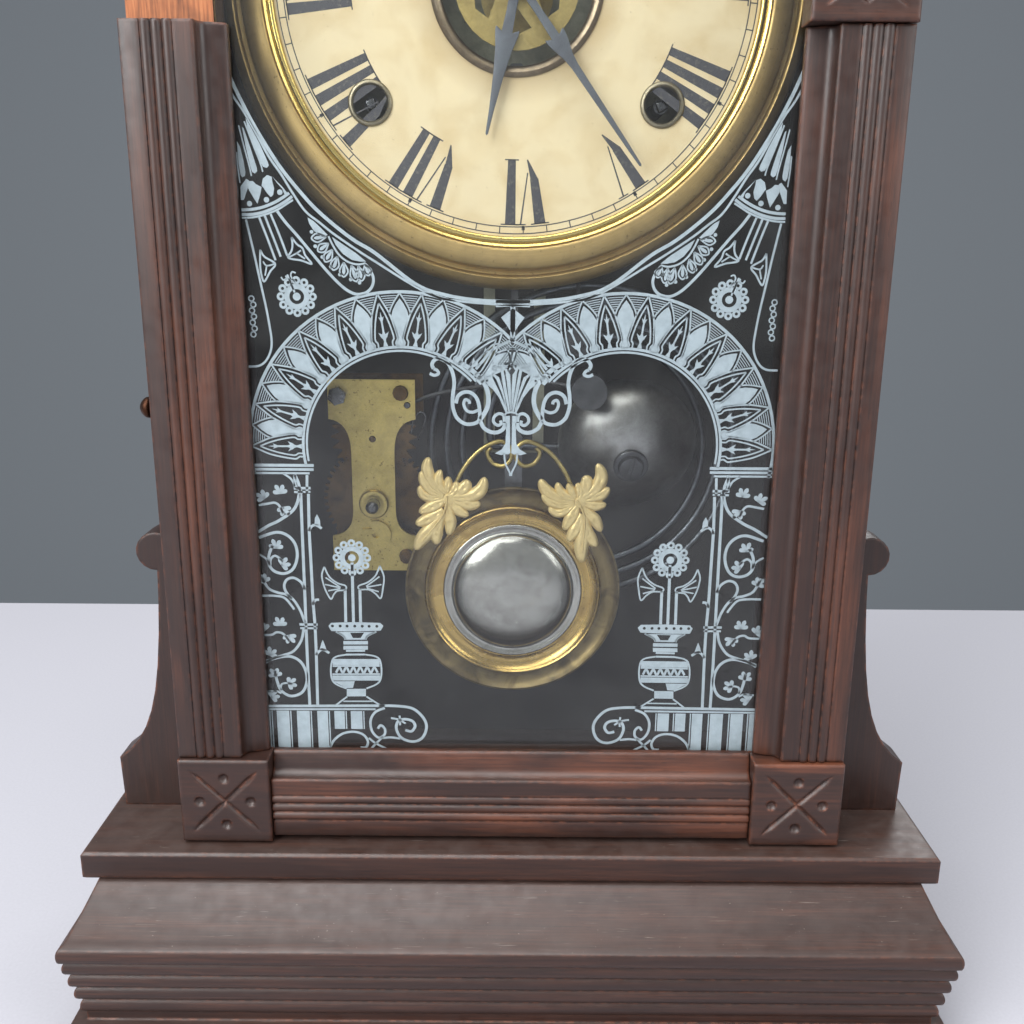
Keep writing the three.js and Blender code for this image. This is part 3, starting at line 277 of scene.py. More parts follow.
def rounded(points, radius, steps=3):
    """A profile with each inner corner rounded off by about the radius."""
    out = [Vector(points[0])]
    for before, here, after in zip(points, points[1:], points[2:]):
        before, here, after = Vector(before), Vector(here), Vector(after)
        r = min(radius, (before - here).length * 0.45, (after - here).length * 0.45)
        start = here + (before - here).normalized() * r
        end = here + (after - here).normalized() * r
        for n in range(steps + 1):
            t = n / steps
            out.append(start * (1 - t) ** 2 + here * (2 * t * (1 - t)) + end * t ** 2)
    out.append(Vector(points[-1]))
    return out


def smooth_path(points, per_span=8):
    """Points along a smooth curve through the given points."""
    pts = [Vector(p) for p in points]
    padded = [pts[0], *pts, pts[-1]]
    out = []
    for p0, p1, p2, p3 in zip(padded, padded[1:], padded[2:], padded[3:]):
        for s in range(per_span):
            t = s / per_span
            out.append(0.5 * (
                2 * p1 + (p2 - p0) * t + (2 * p0 - 5 * p1 + 4 * p2 - p3) * t * t
                + (3 * p1 - p0 - 3 * p2 + p3) * t ** 3
            ))
    out.append(pts[-1])
    return out


def wire(points, radius, sides=10, taper=None):
    """A round wire along points. The taper gives the radius as a share at each share of the length."""
    d = Drawing()
    pts = [Vector(p) for p in points]
    ahead = (pts[1] - pts[0]).normalized()
    side = ahead.orthogonal().normalized()
    for i, p in enumerate(pts):
        if 0 < i < len(pts) - 1:
            ahead = (pts[i + 1] - pts[i - 1]).normalized()
        elif i:
            ahead = (pts[i] - pts[i - 1]).normalized()
        side = (side - ahead * side.dot(ahead)).normalized()
        up = ahead.cross(side)
        r = radius * (taper(i / (len(pts) - 1)) if taper else 1.0)
        for k in range(sides):
            a = TAU * k / sides
            d.corners.append(p + side * (r * math.cos(a)) + up * (r * math.sin(a)))
    for i in range(len(pts) - 1):
        for k in range(sides):
            m = (k + 1) % sides
            d.faces.append([i * sides + k, i * sides + m, (i + 1) * sides + m, (i + 1) * sides + k])
    last = (len(pts) - 1) * sides
    d.faces.append(list(range(sides))[::-1])
    d.faces.append([last + k for k in range(sides)])
    return d


def cut_plate(outlines, front, back, edge=0.15):
    """A plate from y = front to back. The first outline is its edge and the others are holes."""
    curve = bpy.data.curves.new("outline", "CURVE")
    curve.dimensions = "2D"
    curve.fill_mode = "BOTH"
    curve.extrude = (back - front) / 2 - edge
    curve.bevel_depth = edge
    curve.bevel_resolution = 1
    curve.offset = -edge
    for outline in outlines:
        spline = curve.splines.new("POLY")
        spline.points.add(len(outline) - 1)
        for point, (x, z) in zip(spline.points, outline):
            point.co = (x, z, 0.0, 1.0)
        spline.use_cyclic_u = True
    holder = placed("outline", curve)
    mesh = evaluated(holder)
    d = Drawing()
    centre = (front + back) / 2
    d.add([(v.co.x, centre + v.co.z, v.co.y) for v in mesh.vertices], [list(p.vertices) for p in mesh.polygons])
    bpy.data.objects.remove(holder)
    bpy.data.curves.remove(curve)
    bpy.data.meshes.remove(mesh)
    return d


def circle(x, z, radius, count=32, start=0.0):
    return [(x + radius * math.cos(start + TAU * n / count), z + radius * math.sin(start + TAU * n / count))
            for n in range(count)]


def finished(name, drawing, material, body, replaced=(), angle=35.0, flat=False, bevel=0.0):
    """Makes the drawn piece an object in metres that rides on a body of the clock."""
    mesh = bpy.data.meshes.new(name)
    mesh.from_pydata([c * MM for c in drawing.corners], [], drawing.faces)
    bm = bmesh.new()
    bm.from_mesh(mesh)
    bmesh.ops.remove_doubles(bm, verts=bm.verts, dist=2e-6)
    if not flat:
        bmesh.ops.recalc_face_normals(bm, faces=bm.faces)
    bm.to_mesh(mesh)
    bm.free()
    mesh.shade_smooth()
    mesh.set_sharp_from_angle(angle=math.radians(angle))
    piece = placed(name, mesh)
    mesh.materials.append(material)
    if bevel:
        rounding = piece.modifiers.new("Rounded edges", "BEVEL")
        rounding.width = bevel * MM
        rounding.segments = 2
        rounding.limit_method = "ANGLE"
        rounding.angle_limit = math.radians(angle)
        rounding.harden_normals = True
    if replaced:
        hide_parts(*replaced)
    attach(piece, body)
    return piece


def dress(material, *nodes):
    """Gives frame nodes that keep their shape a material of this clock."""
    for name in nodes:
        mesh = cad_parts[name].data
        mesh.materials.clear()
        mesh.materials.append(material)


# ---------------------------------------------------------------- materials
def add(tree, kind, inputs=None, **settings):
    """Adds a node: its settings by name, and its inputs by socket as values or links."""
    node = tree.nodes.new(kind)
    for key, value in settings.items():
        setattr(node, key, value)
    for key, value in (inputs or {}).items():
        socket = node.inputs[key]
        if isinstance(value, bpy.types.NodeSocket):
            tree.links.new(value, socket)
        else:
            socket.default_value = value
    return node


def new_material(name):
    material = bpy.data.materials.new(name)
    material.use_nodes = True
    material.node_tree.nodes.clear()
    return material, material.node_tree


def shown(tree, shader):
    add(tree, "ShaderNodeOutputMaterial", {"Surface": shader.outputs[0]})


def coated(tree, body, roughness, **more):
    """Shows a surface of this colour and roughness."""
    shown(tree, add(tree, "ShaderNodeBsdfPrincipled", {"Base Color": body, "Roughness": roughness, **more}))


def ramp(tree, value, *stops):
    """A colour ramp with stops of place and colour, or place and grey."""
    node = add(tree, "ShaderNodeValToRGB", {"Fac": value})
    bar = node.color_ramp
    while len(bar.elements) < len(stops):
        bar.elements.new(0.5)
    for element, (place, colour) in zip(bar.elements, stops):
        element.position = place
        element.color = (colour, colour, colour, 1.0) if isinstance(colour, float) else colour
    return node.outputs["Color"]


def blend(tree, amount, a, b):
    return add(tree, "ShaderNodeMix", {0: amount, 6: a, 7: b}, data_type="RGBA").outputs[2]


def maths(tree, operation, *values):
    return add(tree, "ShaderNodeMath", dict(enumerate(values)), operation=operation).outputs[0]


def times(tree, a, b):
    return maths(tree, "MULTIPLY", a, b)


def patched(tree, body, mask, start, end, strength, colour):
    """The body with a colour over it where the mask rises from start to end, up to a strength."""
    return blend(tree, ramp(tree, mask, (start, 0.0), (end, strength)), body, linear(colour))


def in_mm(tree, stretch=(1.0, 1.0, 1.0), about=(0.0, 0.0, 0.0)):
    """Object coordinates in millimetres about a point, stretched along the grain."""
    at = add(tree, "ShaderNodeTexCoord").outputs["Object"]
    moved = add(tree, "ShaderNodeVectorMath", {0: at, 1: tuple(c * MM for c in about)}, operation="SUBTRACT")
    scale = tuple(s / MM for s in stretch)
    return add(tree, "ShaderNodeVectorMath", {0: moved.outputs[0], 1: scale}, operation="MULTIPLY").outputs[0]


def noise(tree, at, size, detail=3.0, distortion=0.0, roughness=0.5):
    """Noise whose blotches are about this many millimetres across."""
    return add(tree, "ShaderNodeTexNoise", {
        "Vector": at, "Scale": 1.0 / size, "Detail": detail, "Distortion": distortion, "Roughness": roughness,
    }).outputs["Fac"]


def axis(tree, letter, vector):
    return add(tree, "ShaderNodeSeparateXYZ", {0: vector}).outputs[letter]


def from_axis(tree, at):
    """Distance from the Y axis."""
    squares = [maths(tree, "POWER", axis(tree, letter, at), 2.0) for letter in ("X", "Z")]
    return maths(tree, "SQRT", maths(tree, "ADD", *squares))


def edge_wear(tree, radius):
    """How near a sharp edge the surface is, 0 to 1, and the normal rounded over that edge."""
    rounded_normal = add(tree, "ShaderNodeBevel", {"Radius": radius * MM}, samples=6).outputs[0]
    flat_normal = add(tree, "ShaderNodeNewGeometry").outputs["Normal"]
    turn = add(tree, "ShaderNodeVectorMath", {0: rounded_normal, 1: flat_normal}, operation="DOT_PRODUCT")
    away = maths(tree, "SUBTRACT", 1.0, turn.outputs["Value"])
    return ramp(tree, away, (0.004, 0.0), (0.12, 1.0)), rounded_normal


ALONG_Z = (1.0, 1.0, 0.045)


def walnut(name, grain, dusty=0.0, wear=1.0, rubbed=0.0, seed=0.0, deep=0.0):
    """French-polished walnut: fine streaks and dark open pores along the grain under thin old shellac.

    The eye sees a deep brown, redder where the polish is rubbed thin, orange on worn edges, grey dust on tops.
    """
    w = wood()
    material, tree = new_material(name)
    along = {"x": 0, "y": 1, "z": 2}[grain]

    def grained(share):
        stretch = [1.0, 1.0, 1.0]
        stretch[along] = share
        return in_mm(tree, stretch, about=(seed * 37, seed * 53, seed * 71))

    fibre = noise(tree, grained(0.03), 0.75, 6, 0.1, 0.65)
    band = noise(tree, grained(0.05), 5.5, 4, 0.4)
    pores = noise(tree, grained(0.07), 0.32, 2)
    body = ramp(tree, fibre, (0.3, linear(w.dark)), (0.52, linear(w.mid)), (0.76, linear(w.light)))
    body = blend(tree, ramp(tree, band, (0.36, 0.7), (0.6, deep)), body, linear(w.dark))
    if rubbed:
        patch = noise(tree, grained(0.16), 13.0, 3, 0.3)
        thin = times(tree, ramp(tree, patch, (0.48, 0.0), (0.68, 1.0)), rubbed)
        body = blend(tree, times(tree, thin, ramp(tree, fibre, (0.3, 0.35), (0.6, 1.0))), body,
                     linear(w.worn))
    body = patched(tree, body, pores, 0.64, 0.72, 0.6, "#150c0a")
    edge, rounded_normal = edge_wear(tree, 1.6 * mm(w.edge_radius))
    grazes = ramp(tree, noise(tree, in_mm(tree), 2.6, 4), (0.44, 0.05), (0.62, 1.0))
    worn = times(tree, times(tree, edge, grazes), 0.6 * wear)
    body = blend(tree, worn, body, linear(w.worn))
    if dusty:
        up = axis(tree, "Z", add(tree, "ShaderNodeNewGeometry").outputs["Normal"])
        lying = ramp(tree, up, (0.35, 0.0), (0.9, 1.0))
        patchy = ramp(tree, noise(tree, in_mm(tree), 9.0, 6, 0.5), (0.3, 0.3), (0.7, 1.0))
        fall = times(tree, times(tree, lying, patchy), dusty)
        body = blend(tree, fall, body, linear(w.dust))
        scratch = noise(tree, in_mm(tree, (0.05, 1.0, 1.0), about=(3, 0, 0)), 0.5, 3, 0.6)
        flecks = noise(tree, in_mm(tree), 0.9, 2)
        for mark, low_stop, high_stop, strength in ((scratch, 0.68, 0.74, 0.2), (flecks, 0.75, 0.78, 0.4)):
            line = times(tree, ramp(tree, mark, (low_stop, 0.0), (high_stop, strength)), lying)
            body = blend(tree, line, body, linear("#a89d92"))
    gloss = ramp(tree, noise(tree, in_mm(tree), 5.0, 4), (0.3, 0.34), (0.75, 0.55))
    height = maths(tree, "ADD", times(tree, fibre, 0.5), times(tree, pores, -0.6))
    relief = add(tree, "ShaderNodeBump", {
        "Height": height, "Strength": 0.3, "Distance": 0.07 * MM, "Normal": rounded_normal,
    }).outputs[0]
    coated(tree, body, gloss, **{"Normal": relief, "Coat Weight": 0.08, "Coat Roughness": 0.25})
    return material


def bare_core(name):
    """Sawn, unpolished wood of the door's core: matt, paler and open-grained."""
    w = wood()
    material, tree = new_material(name)
    at = in_mm(tree, ALONG_Z)
    fibre = noise(tree, at, 0.8, 6, 0.3, 0.6)
    body = ramp(tree, fibre, (0.3, linear("#5f3822")), (0.55, linear(w.bare)), (0.8, linear("#b67b50")))
    smear = noise(tree, in_mm(tree), 12.0, 4)
    body = patched(tree, body, smear, 0.45, 0.7, 0.55, w.mid)
    # Only the front is bare. The core's edges were stained with the mouldings.
    depth = maths(tree, "SUBTRACT", axis(tree, "Y", in_mm(tree)), CORE_FRONT)
    body = patched(tree, body, depth, 0.15, 0.5, 1.0, w.mid)
    relief = add(tree, "ShaderNodeBump", {"Height": fibre, "Strength": 0.5, "Distance": 0.12 * MM}).outputs[0]
    coated(tree, body, 0.75, Normal=relief)
    return material


def dark_board(name):
    """Stained softwood of the back board: nearly black inside, raw brown and dusty outside, with faint grain."""
    material, tree = new_material(name)
    fibre = noise(tree, in_mm(tree, (1.0, 1.0, 0.03)), 2.4, 3, 0.2)
    body = ramp(tree, fibre, (0.3, linear("#222324")), (0.75, linear(wood().inside)))
    through = maths(tree, "SUBTRACT", axis(tree, "Y", in_mm(tree)), BOARD_FRONT + 2.0)
    outside = ramp(tree, through, (0.0, 0.0), (0.5, 1.0))
    body = blend(tree, outside, body, ramp(tree, fibre, (0.3, linear("#4a3626")), (0.7, linear("#6b5039"))))
    relief = add(tree, "ShaderNodeBump", {"Height": fibre, "Strength": 0.12, "Distance": 0.05 * MM}).outputs[0]
    coated(tree, body, 0.7, Normal=relief)
    return material


def old_metal(name, bright, dull, tarnished=0.5, roughness=(0.22, 0.45), spun=False, about=(0, 0, 0), spots=0.0,
              metallic=1.0, pitted=0.25):
    """Solid metal with clouded tarnish, spun in rings about a point or plain rolled."""
    material, tree = new_material(name)
    plain = in_mm(tree, about=about)
    clouds = noise(tree, plain, 8.0, 5, 0.8)
    body = patched(tree, linear(bright), clouds, 0.42, 0.72, tarnished, dull)
    if spun:
        ringed = {"X": from_axis(tree, plain), "Y": axis(tree, "Y", plain)}
        marks = noise(tree, add(tree, "ShaderNodeCombineXYZ", ringed).outputs[0], 0.35, 3)
    else:
        marks = noise(tree, plain, 0.8, 4)
    if spots:
        fly = noise(tree, plain, 1.3, 2)
        body = patched(tree, body, fly, 0.66, 0.72, spots, "#3a2a18")
    body = blend(tree, ramp(tree, marks, (0.35, 0.22), (0.7, 0.0)), body, linear(dull))
    gloss = ramp(tree, times(tree, maths(tree, "ADD", clouds, marks), 0.5),
                 (0.3, roughness[0]), (0.7, roughness[1]))
    relief = add(tree, "ShaderNodeBump", {"Height": marks, "Strength": pitted, "Distance": 0.02 * MM}).outputs[0]
    coated(tree, body, gloss, Metallic=metallic, Normal=relief)
    return material


def brass(name="lacquered_brass", **more):
    """Rolled and lacquered brass, gone brown in clouds."""
    m = metal()
    return old_metal(name, m.brass, m.tarnish, **more)


def steel(name="grey_steel", **more):
    """Bright-drawn steel that has greyed."""
    return old_metal(name, metal().steel, "#3a3835", **{"tarnished": 0.6, "roughness": (0.3, 0.5), **more})


def dial_paper(name="aged_dial_paper"):
    """Cream paper glued on zinc: matt, foxed, browner round its middle out to about 36 mm."""
    c = bpy.context.scene.clock_dial
    material, tree = new_material(name)
    at = in_mm(tree, about=(0, 0, DIAL_Z))
    clouds = noise(tree, at, 14.0, 5, 0.4)
    specks = noise(tree, at, 1.1, 2)
    body = patched(tree, linear(c.paper), clouds, 0.42, 0.75, 0.5, c.stain)
    near_hole = ramp(tree, maths(tree, "DIVIDE", from_axis(tree, at), 100.0), (0.27, 0.55), (0.36, 0.0))
    body = blend(tree, near_hole, body, linear("#a98a55"))
    body = patched(tree, body, specks, 0.7, 0.76, 0.35, "#8d6f40")
    coated(tree, body, 0.62)
    return material


def dial_ink(name="dial_ink"):
    """Printing ink on the dial: soft black, thin in places."""
    material, tree = new_material(name)
    thin = noise(tree, in_mm(tree), 1.4, 4)
    ink = linear(bpy.context.scene.clock_dial.ink)
    body = patched(tree, ink, thin, 0.55, 0.75, 0.45, "#8c8677")
    coated(tree, body, 0.5)
    return material


def silk_print(name="silk_print"):
    """Screen-printed enamel on the back of the glass: flat, pale and slightly uneven."""
    material, tree = new_material(name)
    uneven = noise(tree, in_mm(tree), 2.4, 4)
    colour = linear(bpy.context.scene.clock_tablet.print_colour)
    body = patched(tree, colour, uneven, 0.4, 0.8, 0.5, "#8f9ca4")
    coated(tree, body, 0.55)
    return material


def sheet_glass(name="old_sheet_glass"):
    """Old sheet glass: clear, with a mirror sheen by angle and a faint film of dust."""
    material, tree = new_material(name)
    film = noise(tree, in_mm(tree), 18.0, 5, 0.6)
    through = add(tree, "ShaderNodeBsdfTransparent", {"Color": (0.97, 0.98, 0.98, 1.0)})
    haze = add(tree, "ShaderNodeBsdfDiffuse", {"Color": linear("#a3a6a5")})
    dusty = times(tree, ramp(tree, film, (0.35, 0.2), (0.75, 1.0)), 0.025)
    pane = add(tree, "ShaderNodeMixShader", {0: dusty, 1: through.outputs[0], 2: haze.outputs[0]})
    sheen = add(tree, "ShaderNodeBsdfGlossy", {"Color": (1, 1, 1, 1), "Roughness": 0.06})
    angle = add(tree, "ShaderNodeFresnel", {"IOR": 1.5}).outputs[0]
    shown(tree, add(tree, "ShaderNodeMixShader", {
        0: times(tree, angle, 0.6), 1: pane.outputs[0], 2: sheen.outputs[0],
    }))
    return material


# ---------------------------------------------------------------- what repeats or follows a path, as geometry nodes
def new_tree(name, *inputs):
    """A geometry tree with named inputs of a socket kind each, and the sockets of its group input."""
    tree = bpy.data.node_groups.new(name, "GeometryNodeTree")
    tree.interface.new_socket(name="Geometry", in_out="INPUT", socket_type="NodeSocketGeometry")
    for label, kind in inputs:
        tree.interface.new_socket(name=label, in_out="INPUT", socket_type=kind)
    tree.interface.new_socket(name="Geometry", in_out="OUTPUT", socket_type="NodeSocketGeometry")
    return tree, add(tree, "NodeGroupInput").outputs


def close_tree(tree, geometry, material):
    """Makes the copies real, gives them the material and joins them to the output."""
    real = add(tree, "GeometryNodeRealizeInstances", {"Geometry": geometry})
    finish = add(tree, "GeometryNodeSetMaterial", {"Geometry": real.outputs[0], "Material": material})
    add(tree, "NodeGroupOutput", {0: finish.outputs[0]})
    return tree


def wire_tree():
    """Round wire along a polyline, closed at both ends."""
    found = bpy.data.node_groups.get("Round wire along a path")
    if found:
        return found
    tree, given = new_tree(
        "Round wire along a path", ("Radius", "NodeSocketFloat"), ("Sides", "NodeSocketInt"),
        ("Metal", "NodeSocketMaterial"),
    )
    path = add(tree, "GeometryNodeMeshToCurve", {"Mesh": given["Geometry"]})
    section = add(tree, "GeometryNodeCurvePrimitiveCircle", {
        "Resolution": given["Sides"], "Radius": given["Radius"],
    })
    skin = add(tree, "GeometryNodeCurveToMesh", {
        "Curve": path.outputs[0], "Profile Curve": section.outputs[0], "Fill Caps": True,
    })
    return close_tree(tree, skin.outputs[0], given["Metal"])


def around_tree():
    """Copies of a unit turned about a centre on the Y axis, a fixed step apart."""
    found = bpy.data.node_groups.get("Units about a centre")
    if found:
        return found
    tree, given = new_tree(
        "Units about a centre", ("Unit", "NodeSocketObject"), ("Count", "NodeSocketInt"),
        ("Centre", "NodeSocketVector"), ("Start", "NodeSocketFloat"), ("Step", "NodeSocketFloat"),
        ("Finish", "NodeSocketMaterial"),
    )
    places = add(tree, "GeometryNodeMeshLine", {
        "Count": given["Count"], "Start Location": given["Centre"], "Offset": (0.0, 0.0, 0.0),
    })
    unit = add(tree, "GeometryNodeObjectInfo", {"Object": given["Unit"]})
    number = add(tree, "GeometryNodeInputIndex")
    turn = add(tree, "ShaderNodeMath", {0: number.outputs[0], 1: given["Step"], 2: given["Start"]},
               operation="MULTIPLY_ADD")
    about_y = add(tree, "ShaderNodeCombineXYZ", {"Y": turn.outputs[0]})
    copies = add(tree, "GeometryNodeInstanceOnPoints", {
        "Points": places.outputs[0], "Instance": unit.outputs["Geometry"], "Rotation": about_y.outputs[0],
    })
    return close_tree(tree, copies.outputs[0], given["Finish"])


def grown(tree, given, seed=None):
    """Runs a geometry tree on a drawing with the given inputs, and gives the result as a drawing."""
    mesh = bpy.data.meshes.new("seed")
    if seed:
        mesh.from_pydata([c * MM for c in seed.corners], seed.faces if len(seed.faces[0]) == 2 else [], [])
    holder = placed("seed", mesh)
    modifier = holder.modifiers.new("grown", "NODES")
    modifier.node_group = tree
    for item in tree.interface.items_tree:
        if item.item_type == "SOCKET" and item.in_out == "INPUT" and item.name in given:
            modifier[item.identifier] = given[item.name]
    result = evaluated(holder)
    d = Drawing().add([v.co / MM for v in result.vertices], [list(p.vertices) for p in result.polygons])
    bpy.data.objects.remove(holder)
    bpy.data.meshes.remove(result)
    return d


def wired(points, radius, material, sides=12):
    """Round wire along points, grown by the wire tree."""
    path = Drawing().add(points, [[i, i + 1] for i in range(len(points) - 1)])
    return grown(wire_tree(), {"Radius": radius * MM, "Sides": sides, "Metal": material}, path)


def around(unit, count, x, z, start, step, material):
    """A unit drawn pointing up from the origin, repeated about (x, z). Angles are clockwise from the top."""
    mesh = bpy.data.meshes.new("unit")
    mesh.from_pydata([c * MM for c in unit.corners], [], unit.faces)
    holder = placed("unit", mesh)
    d = grown(around_tree(), {
        "Unit": holder, "Count": count, "Centre": (x * MM, 0.0, z * MM), "Start": math.radians(start),
        "Step": math.radians(step), "Finish": material,
    })
    bpy.data.objects.remove(holder)
    bpy.data.meshes.remove(mesh)
    return d


# ---------------------------------------------------------------- flat printed shapes
def pairs(numbers):
    """The points of a row of numbers, which count x to the left."""
    return [(-x, z) for x, z in zip(numbers[::2], numbers[1::2])]


class Sheet:
    """Shapes printed flat on the plane y, seen from the front. With an axis they are mirrored about that x."""

    def __init__(self, y, axis=None):
        self.y = y
        self.axis = axis
        self.d = Drawing()

    def fill(self, outline, *holes):
        """A solid shape, left bare inside its holes."""
        loops = [[Vector((p[0], p[1], 0)) for p in loop] for loop in (outline, *holes)]
        flat = [p for loop in loops for p in loop]
        faces = [[0, 1, 2, 3]] if len(flat) == 4 else [list(face) for face in tessellate_polygon(loops)]
        for mirrored in (False, True) if self.axis is not None else (False,):
            at = [(2 * self.axis - p.x if mirrored else p.x, p.y) for p in flat]
            facing = []
            for face in faces:
                pts = [at[n] for n in face]
                area = sum(a[0] * b[1] - b[0] * a[1] for a, b in zip(pts, pts[1:] + pts[:1]))
                facing.append(face if area > 0 else face[::-1])
            self.d.add([(x, self.y, z) for x, z in at], facing)
        return self

    def strokes(self, rows):
        """A curve for each row of a width and its points' numbers."""
        for width, *numbers in rows:
            self.curve(pairs(numbers), width)

    def shapes(self, rows):
        for numbers in rows:
            self.fill(pairs(numbers))

    def line(self, points, width):
        """A stroke of even width along points."""
        pts = [Vector((p[0], p[1])) for p in points]
        sides = []
        for i, p in enumerate(pts):
            before, after = pts[max(i - 1, 0)], pts[min(i + 1, len(pts) - 1)]
            a, b = (p - before), (after - p)
            a = a.normalized() if a.length > 1e-9 else b.normalized()
            b = b.normalized() if b.length > 1e-9 else a
            along = (a + b).normalized() if (a + b).length > 1e-6 else a
            across = Vector((-along.y, along.x))
            half = width / 2 / max(0.5, abs(along.dot(a)))
            sides.append((p + across * half, p - across * half))
        for (a, b), (c, d) in zip(sides, sides[1:]):
            self.fill([b, d, c, a])
        return self

    def curve(self, points, width, per_span=7):
        return self.line(smooth_path([Vector((p[0], p[1], 0)) for p in points], per_span), width)

    def ring(self, x, z, radius, width, count=28):
        outer, inner = circle(x, z, radius + width / 2, count), circle(x, z, radius - width / 2, count)
        for n in range(count):
            m = (n + 1) % count
            self.fill([inner[n], outer[n], outer[m], inner[m]])
        return self

    def dot(self, x, z, radius, count=14):
        return self.fill(circle(x, z, radius, count))

    def arc(self, x, z, radius, start, end, width):
        """An arc from start to end, in degrees clockwise from the top."""
        steps = max(6, int(abs(end - start) / 4))
        angles = [math.radians(start + (end - start) * n / steps) for n in range(steps + 1)]
        return self.line([(x + radius * math.sin(a), z + radius * math.cos(a)) for a in angles], width)

    def leaf(self, x, z, degrees, long, wide):
        """A solid pointed leaf from (x, z), its tip that many degrees clockwise from the top."""
        a = math.radians(degrees)
        ahead, side = Vector((math.sin(a), math.cos(a))), Vector((math.cos(a), -math.sin(a)))
        right = [(0.0, 0.08), (0.25, 0.26), (0.5, 0.44), (0.75, 0.5), (0.92, 0.3), (1.0, 0.0)]
        pts = [Vector((x, z)) + ahead * (long * u) + side * (wide * v) for u, v in right]
        pts += [Vector((x, z)) + ahead * (long * u) - side * (wide * v) for u, v in right[-2::-1]]
        return self.fill(pts)


# ---------------------------------------------------------------- shared shapes of this clock
OCTANT = math.tan(math.pi / 8)
MOULDING_WIDE = 30.5
MOULDING_THICK = CORE_FRONT - DOOR_FRONT


def reeded_section():
    """Section of the door moulding: across from the outer edge, and back from its front."""
    sunk, reed, start = 0.6, 3.25, 6.2
    s = [(0.0, MOULDING_THICK), (0.0, sunk + 0.5), (0.15, sunk + 0.15), (0.5, sunk), (start - 0.1, sunk)]
    for n in range(3):
        centre = start + reed / 2 + n * reed
        s += [(centre - (reed / 2 - 0.1) * math.cos(math.pi * k / 10),
               sunk + 0.75 - (sunk + 0.7) * math.sin(math.pi * k / 10)) for k in range(11)]
    s += [(start + 3 * reed + 0.1, sunk), (21.7, sunk), (22.1, sunk + 0.25)]
    s += [(22.2 + 3.0 * (1 - math.cos(math.pi / 2 * k / 8)), 1.2 + 3.8 * math.sin(math.pi / 2 * k / 8))
          for k in range(9)]
    s += [(25.6, 5.0), (MOULDING_WIDE - 0.5, 6.35), (MOULDING_WIDE, 6.8), (MOULDING_WIDE, MOULDING_THICK)]
    return s


def moulding(z0, z1, mitre_low=False, mitre_high=False, degrees=0, pieces=24):
    """A length of reeded moulding at the right of the door, turned about the dial centre."""
    section = reeded_section()
    d = Drawing()
    count = len(section)
    for row in range(pieces + 1):
        t = row / pieces
        for across, back in section:
            lo = z0 + (across * OCTANT if mitre_low else 0.0)
            hi = z1 - (across * OCTANT if mitre_high else 0.0)
            d.corners.append(Vector((DOOR_HALF - across, back, lo + (hi - lo) * t)))
    for row in range(pieces):
        for k in range(count):
            m = (k + 1) % count
            a, b = row * count, (row + 1) * count
            d.faces.append([a + k, a + m, b + m, b + k])
    d.faces.append(list(range(count)))
    d.faces.append([pieces * count + k for k in range(count)][::-1])
    place = Matrix.Translation((0, DOOR_FRONT, DIAL_Z)) @ Matrix.Rotation(math.radians(degrees), 4, "Y")
    return d.turned(place)


def moulded_box(rings):
    """A box with a moulded edge: rings of height, half width, front and back, each joined to the next."""
    d = Drawing()
    for z, half, front, back in rings:
        d.corners += [Vector((-half, front, z)), Vector((half, front, z)), Vector((half, back, z)),
                      Vector((-half, back, z))]
    d.faces.append([3, 2, 1, 0])
    for ring in range(0, len(d.corners) - 4, 4):
        for side in range(4):
            a, b = ring + side, ring + (side + 1) % 4
            d.faces.append([a, b, b + 4, a + 4])
    last = len(d.corners) - 4
    d.faces.append([last, last + 1, last + 2, last + 3])
    return d


def refined(name, node, material, body, angle=30.0):
    """A frame node's own shape, its corners merged and its curves smooth."""
    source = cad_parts[node].data
    d = Drawing().add([v.co / MM for v in source.vertices], [list(p.vertices) for p in source.polygons])
    return finished(name, d, material, body, (node,), angle)


class ClockPiece:
    """What every operator of this add-on shares."""

    bl_options = {"REGISTER", "UNDO"}

    def execute(self, context):
        self.make(context.scene)
        return {"FINISHED"}


# ---------------------------------------------------------------- case and base
class CLOCK_OT_case(ClockPiece, bpy.types.Operator):
    """Polished walnut on the case boards, wings, crest and plinth board"""

    bl_idname = "clock.case"
    bl_label = "Case boards"

    def make(self, scene):
        upright = walnut("walnut_upright", "z", deep=0.5)
        across = walnut("walnut_across", "x", seed=1.0)
        dusty = walnut("walnut_dusty", "x", dusty=0.6, wear=0.9, seed=2.0)
        dress(upright, "side_left", "side_right", "roof_left", "roof_right")
        dress(across, "cap_board")
        dress(dark_board("stained_back_board"), "back_board")
        dress(dusty, "plinth_board")
        for side in ("left", "right"):
            refined(f"{side}_wing", f"wing_{side}", upright, "case", 25.0)
        crest(across)


def crest(material):
    """The shaped crest, with a turned rosette in its middle."""
    refined("shaped_crest", "crest_board", material, "case", 25.0)
    lo, hi = low("crest_board"), high("crest_board")
    centre = hi.z - 22
    rosette = lathe(rounded(beyond(lo.y, (0.0, -2.6), (2.6, -2.4), (3.2, -1.0), (8.2, -2.2), (10.6, -1.2),
                                   (11.2, 0.2), (0.0, 0.2)), 0.6), 48, 0.0, centre)
    finished("crest_rosette", rosette, material, "case")


